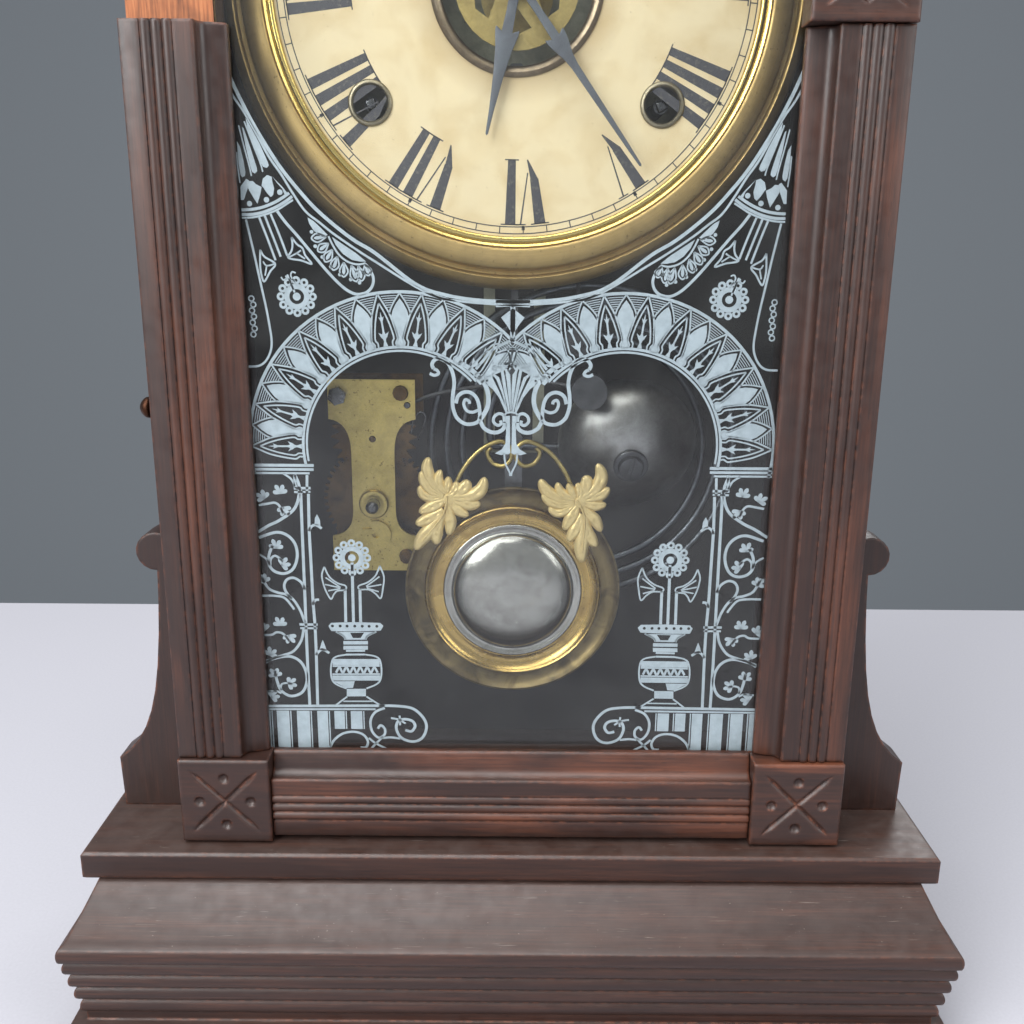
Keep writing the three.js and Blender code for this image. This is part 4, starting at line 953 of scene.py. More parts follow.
class CLOCK_OT_base(ClockPiece, bpy.types.Operator):
    """Base with a hollowed shoulder, a rounded nosing and four reeds"""

    bl_idname = "clock.base"
    bl_label = "Base"

    def make(self, scene):
        lo, hi = low("base_box"), high("base_box")
        half, front, back, top = hi.x, lo.y, hi.y, hi.z
        shoulder = 12.0
        nose_top, nose_low = top - shoulder, top - 17.6
        pitch, step_in, groove = 5.8, 1.1, 1.5
        neck = 4 * step_in + groove
        hollow = (133.5, DOOR_FRONT + 6.0, back - 12.0)
        # Up the hollow inside, round the foot, and up to the lowest reed.
        rings = [(nose_top, *hollow), (0.6, *hollow), (0.0, hollow[0] + 0.6, hollow[1] - 0.6, hollow[2] + 0.6),
                 (0.0, half - 0.8, front + 0.8, back - 0.8), (0.8, half, front, back), (10.0, half, front, back),
                 (10.7, half - 0.3, front + 0.3, back), (11.0, half - 1.0, front + 1.0, back),
                 (12.0, half - neck, front + neck, back)]
        for reed in (3, 2, 1, 0):
            bottom = nose_low - (reed + 1) * pitch
            reach = (reed + 1) * step_in
            rings.append((bottom + 0.5, half - reach - groove, front + reach + groove, back))
            for k in range(9):
                a = math.pi * k / 8
                bulge = reach + groove * (1 - math.sin(a)) * 0.85
                rings.append((bottom + 0.7 + (pitch - 0.9) * (1 - math.cos(a)) / 2,
                              half - bulge, front + bulge, back))
        for k in range(9):
            a = math.pi * k / 8
            inset = 0.9 * (1 - math.sin(a)) + 0.05
            rings.append((nose_low + 0.1 + (nose_top - nose_low - 0.2) * (1 - math.cos(a)) / 2,
                          half - inset, front + inset, back))
        # The shoulder climbs inwards to the plinth board.
        for step in range(1, 15):
            t = step / 14
            climb = 0.75 * t + 0.25 * (1 - math.cos(t * math.pi / 2))
            rings.append((nose_top + climb * shoulder, half - 1.6 + (147.1 - half) * t * 0.96,
                          front + 1.6 + 24.1 * t, back))
        finished("moulded_base", moulded_box(rings), walnut("walnut_base", "x", dusty=0.35, wear=1.0, seed=3.0),
                 "case", ("base_box",), 28.0)


# ---------------------------------------------------------------- door
class CLOCK_OT_mouldings(ClockPiece, bpy.types.Operator):
    """Reeded lengths of the door: two stiles, the bottom rail and the eight-sided head"""

    bl_idname = "clock.mouldings"
    bl_label = "Reeded mouldings"

    def make(self, scene):
        upright = walnut("walnut_stiles", "z", wear=0.9, rubbed=0.28, seed=4.0, deep=0.55)
        across = walnut("walnut_rail", "x", wear=1.1, rubbed=0.45, seed=5.0, deep=0.25)

        def reeded(name, shape, look, node):
            finished(f"reeded_{name}", shape, look, "door", (node,), 24.0)

        low_z, high_z = low("stile_right").z - DIAL_Z, high("stile_right").z - DIAL_Z
        reeded("stile_right", moulding(low_z, high_z), upright, "stile_right")
        reeded("stile_left", moulding(-high_z, -low_z, degrees=180), upright, "stile_left")
        corner = DOOR_HALF * OCTANT - 0.15
        first = low("head_right").z - DIAL_Z
        short = moulding(first, DOOR_HALF * OCTANT, mitre_high=True, pieces=6)
        canted = moulding(-DOOR_HALF * OCTANT, corner, True, True, degrees=-45, pieces=16)
        right = Drawing().take(short).take(canted)
        left = right.turned(Matrix.Scale(-1, 4, (1, 0, 0)))
        reeded("head_right", right, upright, "head_right")
        reeded("head_left", left, upright, "head_left")
        reeded("head_top", moulding(-corner, corner, True, True, degrees=-90, pieces=16), across, "head_top")
        # The rail's outer edge lies a little above the door's own lower edge.
        half = high("rail_bottom").x
        rail = moulding(-half, half, degrees=90)
        drop = low("rail_bottom").z - min(c.z for c in rail.corners)
        reeded("rail", rail.turned(Matrix.Translation((0, 0, drop))), across, "rail_bottom")


class CLOCK_OT_blocks(ClockPiece, bpy.types.Operator):
    """Square corner blocks with a cut cross and four punched dots"""

    bl_idname = "clock.blocks"
    bl_label = "Corner blocks"

    def make(self, scene):
        looks = {
            "block_lower_left": walnut("walnut_block_left", "x", wear=1.3, rubbed=0.2, seed=6.0, deep=0.5),
            "block_lower_right": walnut("walnut_block_right", "x", wear=1.4, rubbed=0.7, seed=7.0, deep=0.25),
            "block_upper_right": walnut("walnut_block_upper", "x", wear=1.3, rubbed=0.3, seed=8.0, deep=0.5),
        }
        for node, look in looks.items():
            name = node.replace("block", "carved_block")
            finished(name, self.carved(node), look, "door", (node,), 40.0)

    @staticmethod
    def carved(node):
        lo, hi, centre = low(node), high(node), middle(node)
        half = (hi.x - lo.x) / 2
        count = 110
        cross_reach, cross_end, slope = 17.6, 5.0, 1.15
        dot_at, dot_radius, dot_deep, edge_round = 9.0, 1.75, 1.2, 0.7
        d = Drawing()

        def depth(u, v):
            a, b = (u + v) / math.sqrt(2), (u - v) / math.sqrt(2)
            deep = 0.0
            for across, along in ((a, b), (b, a)):
                width = min(1.0, max(0.0, cross_reach - abs(along)) / cross_end)
                if abs(across) < width:
                    deep = max(deep, slope * (width - abs(across)))
            for x, z in ((dot_at, 0), (-dot_at, 0), (0, dot_at), (0, -dot_at)):
                r = math.hypot(u - x, v - z)
                if r < dot_radius:
                    deep = max(deep, dot_deep * math.sqrt(1 - (r / dot_radius) ** 2))
            edge = half - max(abs(u), abs(v))
            return deep + (0.5 * (1 - edge / edge_round) ** 2 if edge < edge_round else 0.0)

        for j in range(count + 1):
            for i in range(count + 1):
                u, v = half * (2 * i / count - 1), half * (2 * j / count - 1)
                d.corners.append(Vector((centre.x + u, lo.y + depth(u, v), centre.z + v)))
        for j in range(count):
            for i in range(count):
                a = j * (count + 1) + i
                d.faces.append([a, a + 1, a + count + 2, a + count + 1])
        rim = list(range(count + 1))
        rim += [j * (count + 1) + count for j in range(1, count + 1)]
        rim += [count * (count + 1) + i for i in range(count - 1, -1, -1)]
        rim += [j * (count + 1) for j in range(count - 1, 0, -1)]
        base = len(d.corners)
        d.corners += [Vector((d.corners[k].x, hi.y, d.corners[k].z)) for k in rim]
        for k in range(len(rim)):
            m = (k + 1) % len(rim)
            d.faces.append([rim[m], rim[k], base + k, base + m])
        d.faces.append([base + k for k in range(len(rim))])
        return d


class CLOCK_OT_door(ClockPiece, bpy.types.Operator):
    """Core frame, hinges, knob and spring catch of the door"""

    bl_idname = "clock.door"
    bl_label = "Door frame and fittings"

    def make(self, scene):
        dress(bare_core("bare_core_wood"), "door_frame")
        hinge = brass("hinge_brass", tarnished=0.8, roughness=(0.35, 0.6))
        for where in ("lower", "upper"):
            refined(f"{where}_door_leaf", f"hinge_door_{where}", hinge, "door")
            refined(f"{where}_case_leaf", f"hinge_case_{where}", hinge, "case")
        refined("spring_catch", "catch_spring", hinge, "case")
        at = middle("door_knob")
        knob = lathe(rounded([(0.0, 0.0), (1.8, 0.0), (1.5, 1.5), (2.6, 2.2), (3.6, 3.0), (3.4, 4.4), (2.2, 5.6),
                              (1.0, 6.25), (0.0, 6.4)], 0.5), 40)
        place = Matrix.Translation((high("door_knob").x, at.y, at.z)) @ Matrix.Rotation(math.radians(90), 4, "Z")
        browned = old_metal("browned_knob", "#54382a", "#281912", tarnished=0.9, roughness=(0.35, 0.5))
        finished("turned_knob", knob.turned(place), browned, "door", ("door_knob",), 50.0)


class CLOCK_OT_glass(ClockPiece, bpy.types.Operator):
    """Old sheet glass of the door"""

    bl_idname = "clock.glass"
    bl_label = "Glass"

    def make(self, scene):
        dress(sheet_glass(), "glass")


# ---------------------------------------------------------------- printed tablet, a traditional pattern
# Rows of lines give a stroke's width and then x, z, x, z along it. Rows of shapes give x, z round an outline.
# Both are in mm, x to the left of the middle and z above the plinth board. First the left corner.
CORNER_LINES = (
    (1.1, 88.6, 260, 86.2, 254, 82.4, 245.9, 79.8, 241.1, 76.2, 235, 72.6, 229.6, 68.4, 224.4, 63.4, 218.8,
     57.4, 213.5, 51, 208.7, 44.4, 204.8, 31.6, 195.2, 21.9, 191.9, 10.5, 190.3, -4.9, 190),
    (0.7, 89.2, 256, 86.6, 251, 83.7, 246.7, 81, 241.9, 76.7, 233.7, 73.1, 228.4, 69.8, 222.9, 66.1, 217.5,
     61.8, 214.1, 57.5, 210.7, 51, 206.3, 44.5, 202.2, 27.7, 192.4, 16.2, 189.9, -4.9, 188.6),
    (0.9, 86.1, 217.7, 82.8, 217.9, 79.3, 218.6, 75.7, 220, 73, 221.5, 70.9, 222.9),
    (0.9, 86.1, 216.3, 82.5, 216.4, 78.5, 217.3, 74.9, 218.8, 71.9, 220.5, 70, 221.9),
    (0.6, 86.1, 215.3, 82.5, 215.5, 78.3, 216.5, 74.5, 218, 71.5, 219.8, 69.8, 220.8),
    (0.45, 83.7, 243.9, 81.6, 237.8, 79.4, 231.6, 78.8, 229.1),
    (0.45, 85.5, 242.7, 84.3, 237, 82.9, 230.8, 82.4, 227.9),
    (0.45, 86.6, 234.9, 86.5, 230.8, 86.1, 225.8),
    (0.7, 84.9, 214.8, 84, 210.1, 82.8, 203.7, 81.6, 196.7, 80.9, 192.7, 80.1, 188.1, 79.3, 182.4, 78.8, 177,
     79.4, 173.4, 81.2, 170.3, 83.6, 168.8, 87.2, 168.6),
    (0.7, 80.7, 215.5, 78.5, 209.3, 76.2, 202.4),
    (0.7, 78.9, 216, 76.7, 209.8, 74.5, 203.5),
    (0.7, 77, 216.5, 74.6, 210.2, 72.4, 203.8),
    (0.9, 74.9, 217.4, 72.5, 214.1, 69.1, 210.2, 64.9, 205.1, 60.6, 199.9, 56.8, 195.8, 53.7, 193.2, 50.6, 192,
     47.4, 192.7, 45.6, 194.8, 45.3, 197.4, 46.5, 200, 47.8, 201.5),
    (0.6, 59.1, 209.9, 57.9, 207.3, 56, 204.3, 53.4, 202.2, 50.3, 201.3, 47.6, 201.7),
    (0.6, 70.8, 209.5, 69.2, 207.4, 67.5, 206.2, 66.7, 204, 64.8, 201.4, 68.1, 202.4, 72.1, 203.2, 71, 205.3,
     70.6, 207.2, 70.8, 209.5),
    (0.6, 80.9, 205.6, 79.7, 203.5, 76.4, 201.3, 78.1, 198.9, 80.1, 195.8, 80.9, 197.6, 81.2, 200.7, 80.9, 205.6),
    (0.5, 72, 203.3, 69.4, 204.6, 68, 205.5),
    (0.5, 69.4, 204.6, 66.8, 202.9),
    (0.5, 76.5, 201.3, 79.1, 200.7, 80.2, 202),
    (0.5, 79.1, 200.7, 79.8, 197.6),
    (0.6, 72.7, 198, 71.7, 195.3, 70.6, 192.4),
    (0.5, 74.7, 197.2, 74, 196.3, 72.9, 197, 73.3, 197.6),
    (0.5, 70, 198.5, 71.1, 198.8, 71.6, 197.8, 71.1, 196.6, 70.1, 195.6),
)
# Tongues and petals of the lotus capital, and the half moon and tip of the shell.
CORNER_SHAPES = (
    (83.2, 244.9, 82, 242.7, 79.3, 237.4, 77.1, 232.1, 76.8, 231, 77.5, 230.3, 78.6, 230.6, 79.4, 232, 81.3, 237.4,
     82.9, 242.3),
    (84.5, 242.3, 84, 241.9, 82.2, 236.1, 80.6, 230.4, 80.5, 229.3, 81.3, 228.6, 82.1, 229.1, 82.6, 230.8,
     83.7, 236.5),
    (86.3, 238.2, 85.4, 236.5, 84.6, 232.4, 84.2, 229.1, 84.4, 227.9, 85.3, 227.4, 85.8, 228.3, 86.2, 231.6),
    (83.4, 226.3, 82.1, 226.4, 81.1, 225.4, 79.4, 224.6, 79.9, 222.5, 81, 219.6, 82, 221.2, 83.2, 223.3,
     83.7, 224.3),
    (79.4, 225, 78.9, 227.1, 77.5, 228.2, 76.1, 227.7, 76, 226.3, 75.5, 224.2, 75.9, 222.3, 76.7, 221.6,
     77.9, 222.9, 78.9, 224.5),
    (86, 224.7, 84.1, 227, 83.3, 226.6, 83.8, 224.1, 85.2, 220.7, 86.1, 220.7),
    (76, 227.9, 74.9, 226.7, 72.8, 224.6, 71.5, 222.9, 72.4, 222.5, 73, 224.2, 74.5, 225.8),
    (58, 209.7, 56.8, 207.1, 54.7, 204.5, 52, 202.7, 49.4, 202.2, 47.4, 202.2, 50.6, 204.8, 54.1, 207.1),
    (65.5, 215.6, 63.6, 214.5, 61, 212, 59.3, 210.3, 61.1, 209.6, 63.7, 211.6, 65, 213.7),
)
# Inner and outer end of each petal along the shell.
SHELL_PETALS = (
    ((-59.8, 209.7), (-64.5, 209.2)), ((-59.1, 207.7), (-62.6, 205.3)), ((-58, 205.8), (-60.5, 202.1)),
    ((-56.5, 203.7), (-58, 199.5)), ((-54.5, 201.9), (-54.7, 197.4)), ((-52.1, 201), (-50.7, 196)),
    ((-49.9, 200.8), (-48.9, 196.2)), ((-47.8, 201.3), (-46.6, 197.9)),
)
# Vine scrolls, twin shafts, ties and buds of the column.
COLUMN_LINES = (
    (1.0, 73.4, 132.5, 72.2, 129.1, 72.4, 124.9, 74.4, 120.3, 79.3, 116.6, 83.3, 114.6, 87.9, 111.7),
    (0.7, 77.3, 132.9, 74.8, 131.1, 73.5, 128.5),
    (0.8, 86.1, 121.8, 82.9, 122.4, 80.6, 122.7, 79.1, 121.6, 77.9, 118.9),
    (1.0, 86.7, 110.4, 80.8, 112.3, 77, 111.3, 74.5, 108.3, 73.9, 103.9, 75.4, 99.5, 78.4, 97.6, 81.9, 98.3,
     83.7, 100.8, 83.5, 104.5, 82.1, 107.6),
    (0.8, 83.3, 100.5, 83, 102.8, 81.3, 103.9, 78.8, 101.9),
    (0.7, 87.1, 104.5, 84.6, 102.8, 83.5, 100.5),
    (0.9, 86.8, 97, 84.5, 92.3, 81.3, 90.6, 78.4, 89.9, 75.9, 87.9, 73.8, 84.1, 72.4, 79.7),
    (0.9, 71.8, 91.7, 73, 94.4, 75.5, 96, 77.8, 95.4, 78.9, 93.3, 78.4, 90.9, 76.6, 88.3),
    (0.8, 87.3, 89.4, 82.4, 89.4, 79.1, 88.7, 76.7, 85.8, 75.9, 84.4),
    (0.9, 72.9, 77.1, 74, 72.8, 76.8, 68.9, 80.5, 67.3, 84.3, 66, 87.3, 64.2),
    (0.8, 87.7, 74.8, 84.1, 75, 82.4, 75.9, 80.1, 75.3, 78, 72.5),
    (1.0, 87.3, 64.8, 81.9, 66.5, 77.9, 66.8, 74.7, 65, 72.9, 61.5, 72.7, 57.1, 74.6, 53.1, 78.6, 51.7, 81.9, 53.8,
     83.2, 57.4, 83.8, 61.4),
    (0.7, 87.3, 53.3, 83.9, 53.6, 81.9, 52.7),
    (0.7, 81.9, 53.8, 81.8, 56, 80.1, 56.7, 77.8, 56.4),
    (1.0, 71.7, 125.9, 71.8, 114, 71.9, 95.1, 72, 80.6, 72.1, 64.3, 72, 48.4),
    (1.0, 69.1, 125.9, 69.4, 113.4, 69.3, 100.6, 69.2, 88.3, 68.9, 78.5, 68.9, 67.9, 69.2, 48.4),
    (1.0, 71.2, 126, 72.1, 127.8, 73.4, 128.5, 73.4, 132.5),
    (0.9, 69.3, 132.4, 69.6, 126.2),
    (0.9, 74, 127.8, 68.3, 127.9),
    (0.7, 73.9, 126.5, 68.4, 126.6),
    (0.9, 74.3, 78.9, 67.9, 78.9),
    (0.7, 74.1, 77.5, 68.1, 77.5),
    (0.9, 69.5, 112.8, 68.6, 114.4, 67.1, 115, 65.1, 113.8),
    (0.9, 69.5, 86.2, 68.3, 87.9, 67.1, 88.1),
    (0.9, 69, 67.4, 67.5, 69.2, 66.2, 69.5, 64.3, 68.2),
)
# Vase, stems and winged flowers.
VASE_LINES = (
    (0.6, 61.7, 76.3, 59.2, 74.7, 58.5, 73.3),
    (0.6, 47.5, 76.4, 50.5, 74.8, 51.4, 73.4),
    (0.7, 58.4, 69.1, 51.7, 69.2),
    (0.7, 58.4, 67.7, 51.8, 67.8),
    (0.6, 58.4, 67.7, 63.2, 65.8, 63.6, 57.8, 58.7, 54.7),
    (0.6, 51.7, 67.8, 46.7, 66, 46.7, 57.9, 51.6, 54.8),
    (0.6, 63.3, 63.3, 46.7, 63.5),
    (0.6, 63.5, 60.2, 46.7, 60.4),
    (0.8, 62.2, 60.8, 60.9, 62.8, 59.8, 60.8, 58.5, 62.9, 57.3, 60.8, 56, 62.9, 54.9, 60.8, 53.6, 62.9, 52.4, 60.8,
     51.1, 62.9, 49.9, 60.9, 48.6, 62.9, 47.5, 60.9),
    (0.6, 58.6, 51.6, 62.6, 48.4),
    (0.6, 51.7, 51.7, 47.1, 48.5),
    (0.5, 60, 49.8, 49.6, 49.9),
    (1.0, 58.1, 79.9, 57.9, 92.1),
    (1.0, 55.4, 79.9, 55.2, 101.7),
    (1.0, 52.9, 79.9, 52.8, 92.2),
    (0.55, 64.8, 100.1, 63.2, 96.5, 60.4, 94.2, 57.8, 93.3, 57.8, 91.8, 60.5, 91.4, 61.8, 90.2, 63, 88.4,
     64.7, 91.7, 65.6, 95.2, 65.7, 97.5, 64.8, 100.1),
    (0.55, 45.7, 100.6, 47.3, 97, 50, 94.6, 53.1, 93.3, 52.9, 92, 49.7, 91.9, 47.5, 90.5, 45.7, 88.8, 44.8, 92.6,
     44.4, 96.7, 45.7, 100.6),
    (0.5, 59.4, 92.6, 64.5, 96.2),
    (0.5, 59.4, 92.5, 64.8, 93.7),
    (0.5, 59.6, 92.2, 63.8, 91.4),
    (0.5, 50.6, 93.1, 45.9, 96.7),
    (0.5, 50.5, 92.8, 45.3, 93.8),
    (0.5, 50.3, 92.4, 46.3, 91.2),
)
# Solid bands of the vase.
VASE_SHAPES = (
    (63.2, 66, 46.7, 66.1, 46.7, 63.8, 63.3, 63.7),
    (63.5, 59.7, 46.7, 59.9, 46.7, 57.9, 63.6, 57.8),
    (63.4, 57.5, 55.7, 57.6, 56.4, 55, 58.7, 54.9),
    (58.6, 54.6, 51.8, 54.7, 51.9, 51.8, 58.7, 51.7),
    (59.2, 72.8, 50.6, 72.9, 50.6, 71.6, 59.2, 71.5),
    (59.2, 71, 50.6, 71.1, 50.7, 69.6, 59.3, 69.6),
)
# Scrolls and lines of the band along the bottom.
BAND_LINES = (
    (1.0, 88.9, 47.7, 45.3, 48.2),
    (0.7, 89, 46.5, 48.6, 46.8),
    (1.0, 47.3, 48.2, 40.6, 48.1, 35.2, 47.1, 31.6, 43.6, 30.5, 39.9, 32, 35.8, 35.4, 34.2, 39.5, 35.6, 41.3, 39.1,
     40.7, 42.1, 38.3, 43, 35.6, 42.3, 34.6, 40.3, 35.9, 38.3, 38.1, 38.7),
    (0.9, 45.3, 47.3, 48.7, 45.7, 50.5, 42.4, 50.1, 38.3, 47.9, 35.7, 45.7, 36.8, 45.5, 39.1, 46.9, 40.5, 48, 39.2),
    (0.8, 46.2, 35.5, 43.5, 35.8, 40.2, 35.4),
    (0.9, 65.5, 31.3, 63.9, 34.5, 60.7, 37.1, 56.7, 37.9, 53.3, 36.8, 51.7, 34.2, 52.4, 31.9, 54.4, 31.7),
    (0.7, 43.2, 43.4, 40.3, 42.8, 38, 41.3),
    (0.7, 40.1, 44.4, 39.9, 42.7, 40, 40.6),
    (0.8, 51.3, 35.5, 49, 33.5, 45, 31.2),
    (0.8, 46.2, 36.1, 49, 33.1, 50.8, 31),
)
# Volutes beside the palmette, from its middle.
PALMETTE_LINES = (
    (1.2, 25.4, 168.3, 25.9, 169.8, 24.9, 171.3, 22.9, 171.7, 20.9, 170.4, 19.4, 167.6, 18.7, 163.8, 19.2, 159.7,
     19.2, 155.9, 17.9, 152.2, 15.1, 150.2, 12, 150.4, 10.5, 151.7, 10.4, 154.8, 11.1, 158.2, 12.8, 160.3,
     15.2, 160.8, 17.4, 159.5, 18.2, 157),
    (1.0, 10.9, 154.8, 12.8, 154.1, 14.7, 154.7, 15.6, 156.7, 15.1, 158.2, 13.9, 157.8, 13.7, 156.9),
    (1.0, 25.4, 168.3, 24.4, 167.9, 23.8, 166.8, 25.2, 166.2, 26.7, 166.8),
    (1.5, 17.2, 170.6, 13.9, 168.7, 10.9, 166.1, 8.6, 163.2, 7.5, 159.4, 7.9, 155.6, 10.1, 151.7),
    (1.3, 10.2, 151.3, 9, 148.9, 6.6, 147.5, 4.3, 147.5, 2.5, 148.7, 2, 150.6),
    (1.0, 2.2, 151, 2.5, 153.1, 4, 153.7, 5.5, 152.7, 5.8, 151, 4.5, 149.8, 3.3, 150.3, 3.5, 151.4),
    (0.9, 0, 177.7, 6.1, 174.7, 9, 171.4, 11.6, 168.3),
    (0.5, 4.1, 176.6, 6.3, 176.1, 9, 173.3, 12.4, 169.9),
    (0.6, 2.2, 140.4, 1.8, 137, 0.4, 133.9, 0.2, 132.6),
)
# Left halves of its blades and of its stem.
PALMETTE_SHAPES = (
    (0.2, 154.4, 1.1, 160.9, 1.8, 167, 2.7, 169.9, 2.5, 170.5, 1.2, 170.6, 0, 174.1, 0, 170, 1.8, 169.7, 1.2, 167.7,
     0.4, 166.6, 0.1, 160.9, 0.1, 154.4),
    (1.1, 154.3, 4, 161.3, 6.1, 165.4, 6.3, 168.4, 6.3, 171.2, 5, 169.5, 3.3, 169.6, 2.5, 167.7, 0.7, 157.1,
     0.4, 154.4, 0.9, 154.4, 2.5, 161.7, 3.6, 168.4, 5.5, 168.6, 5.5, 166.7, 4, 165.7, 2.5, 160.9),
    (1.8, 154, 4, 159, 6.1, 161.8, 8.1, 163.3, 8.8, 165, 9.2, 166.9, 7.9, 166.1, 6.3, 166.5, 5, 165.1, 3, 160.2,
     1.2, 154.3),
    (0.4, 153, 1.9, 152.9, 1.6, 147.6, 1.8, 143.7, 3, 141.7, 5.3, 140.3, 3.2, 139.7, 2.2, 140, 0.9, 140,
     0.2, 140.4),
)


class CLOCK_OT_tablet(ClockPiece, bpy.types.Operator):
    """Silk print on the back of the glass: an arcade of petals, a palmette, vines and vases"""

    bl_idname = "clock.tablet"
    bl_label = "Printed tablet"

    def make(self, scene):
        t = scene.clock_tablet
        self.y, self.axis = GLASS_BACK + PRINT_GAP, PRINT_MIDDLE
        look = silk_print()
        both = Sheet(self.y, self.axis)
        self.arcade(both, t)
        self.corner(both)
        self.column(both)
        self.vase(both)
        self.base_band(both)
        whole = Drawing().take(both.d).take(self.palmette().d).take(self.fans(t, look))
        finished("tablet_print", whole.turned(Matrix.Translation((0, 0, SLAB_TOP))), look, "door",
                 flat=True)

    def fans(self, t, look):
        """Pierced windows and solid petals in turn round each arch, grown by the tree."""
        # A window and a petal are drawn for a fan 19 deep.
        inner, deep = mm(t.arch_inner), (mm(t.arch_outer) - mm(t.arch_inner)) / 19.0
        step = 180.0 / t.windows
        window, petal = Sheet(self.y, 0.0), Sheet(self.y, 0.0)

        def out(*points):
            return [(u, inner + v * deep) for u, v in points]

        window.curve(out((0, 18.8), (1.5, 15.5), (2.8, 12.3), (3.7, 8.3), (4.2, 5.1), (4.2, 3.9), (3.5, 2.8),
                         (3.6, 1.8)), 0.55)
        window.curve(out((0, 15.9), (1.2, 12.9), (2.2, 9.5), (2.9, 5.9), (3.0, 4.2), (2.4, 3.2), (2.4, 1.8)), 0.5)
        # The two-tier sprig in each window.
        window.fill(out((0, 2.0), (0.8, 2.0), (0.3, 3.6), (0.5, 4.4), (1.0, 5.0), (1.7, 6.6), (0.6, 5.9),
                        (0.3, 6.6), (0.3, 10.0), (0.9, 11.6), (0.3, 11.2), (0, 13.2)))
        petal.fill(out((0, 1.6), (1.1, 1.6), (1.3, 2.8), (0.8, 3.9), (1.0, 5.1), (1.9, 8.3), (2.8, 11.4),
                       (2.3, 13.3), (1.2, 15.4), (0, 17.0)))
        petal.curve(out((0, 18.7), (1.7, 16.2), (2.9, 13.9), (3.5, 12.1)), 0.5)
        for n, (first, last) in enumerate(((1.1, 7.0), (1.6, 6.6), (2.1, 6.2), (2.6, 5.9), (3.1, 5.6), (3.6, 5.2))):
            petal.arc(0, 0, inner + (17.9 - 0.72 * n) * deep, first, last, 0.26)
        grown_print = Drawing()
        x, z = mm(t.arch_x), mm(t.arch_z)
        shown_units = 9
        for hand in (-1, 1):
            place = (self.axis + hand * x, z)
            grown_print.take(around(window.d, shown_units, *place, hand * 90, -hand * step, look))
            grown_print.take(around(petal.d, shown_units, *place, hand * (90 - step / 2), -hand * step, look))
        return grown_print

    def arcade(self, s, t):
        """The double ring inside each fan and the ring outside it, on a banded capital."""
        x, z, inner, outer = self.axis - mm(t.arch_x), mm(t.arch_z), mm(t.arch_inner), mm(t.arch_outer)
        s.arc(x, z, inner + 1.5, -101, 48, 0.9)
        s.arc(x, z, inner + 0.3, -99, 46, 0.7)
        s.arc(x, z, outer + 0.1, -101, 46, 1.0)
        s.fill([(0.2, 188.6), (-2.6, 186.4), (-4.4, 185.0), (-2.6, 182.6), (-1.0, 180.2), (-0.4, 178.0),
                (0.2, 178.0)])

    def corner(self, s):
        """Lotus capital, stems and buds, the rosette, and the scalloped shell under the bezel."""
        s.strokes(CORNER_LINES)
        s.shapes(CORNER_SHAPES)
        for x, z in ((-83.5, 219.6), (-78.1, 220.8), (-73.8, 223.1)):
            s.dot(x, z, 0.85)
        for near, far in SHELL_PETALS:
            reach = (Vector(far) - Vector(near))
            side = Vector((-reach.y, reach.x)).normalized() * 1.35
            mid = Vector(near) + reach * 0.6
            s.curve([near, mid + side, far, mid - side, near], 0.5, per_span=4)
            s.leaf(*near, math.degrees(math.atan2(reach.x, reach.y)), reach.length * 0.85, 1.1)
        for x, z in ((-64.4, 211.2), (-63.4, 206.8), (-61.3, 203.5), (-58.7, 200.5),
                     (-55.9, 198.1), (-52.5, 196.6), (-49.7, 195.6)):
            s.dot(x, z, 0.6, 8)
        self.rosette(s, -70.0, 191.1, 6.4)
        for n in range(7):
            s.ring(-84.6 + 0.5 * (n % 2), 190.4 - 1.9 * n, 0.85, 0.45, 9)

    def rosette(self, s, x, z, radius):
        """Pierced rosette: a button in a dark ring, a broad ring and a fringe of eyelets."""
        s.dot(x, z, radius * 0.2, 12)
        s.ring(x, z, radius * 0.5, radius * 0.26, 28)
        for n in range(12):
            a = TAU * n / 12
            s.ring(x + radius * 0.8 * math.sin(a), z + radius * 0.8 * math.cos(a), radius * 0.145, radius * 0.13,
                   10)

    def palmette(self):
        """Blades with pierced heads on a fluted stem, volutes beside them and a pendant drop."""
        s = Sheet(self.y, PALMETTE_MIDDLE)
        for width, *numbers in PALMETTE_LINES:
            s.curve([(x + PALMETTE_MIDDLE, z) for x, z in pairs(numbers)], width)
        for numbers in PALMETTE_SHAPES:
            s.fill([(x + PALMETTE_MIDDLE, z) for x, z in pairs(numbers)])
        for x, z, size in ((PALMETTE_MIDDLE, 169.2, 0.5), (-6.0, 168.0, 0.45), (-8.9, 164.6, 0.4)):
            s.dot(x, z, size, 8)
        s.curve([(-3.2, 152.8), (-2.6, 153.8), (PALMETTE_MIDDLE, 154.2)], 0.6)
        return s

    def column(self, s):
        """Capital, twin shafts and a climbing vine."""
        for z, end, width in ((135.7, -66.9, 1.0), (134.3, -67.0, 0.9), (133.0, -68.4, 0.7)):
            s.line([(-90.0, z), (end, z)], width)
        s.strokes(COLUMN_LINES)
        for x, z, degrees in (
            (-78.5, 125.9, -5), (-84, 124.1, -35), (-77.8, 121.2, 170), (-81, 106.6, 5), (-79.5, 100.5, 60),
            (-81, 78.4, 0), (-86.3, 76.6, -40), (-78.2, 74.9, 170), (-85.3, 67.1, 25), (-83.5, 59.2, -10),
            (-79.4, 56.4, 80), (-85.7, 51.1, 60), (-85.6, 94.3, -20),
        ):
            for turn, long in ((-70, 2.7), (-24, 3.5), (22, 3.3), (66, 2.6)):
                s.leaf(x, z, degrees + turn, long, 1.5)
        s.shapes((
            (67.5, 115, 67.3, 117.4, 66.5, 118.8, 65.6, 116.8, 65.5, 114.7),
            (67.7, 69.4, 67, 71.8, 66.4, 73.2, 65.7, 71.1, 65.1, 68.9),
        ))

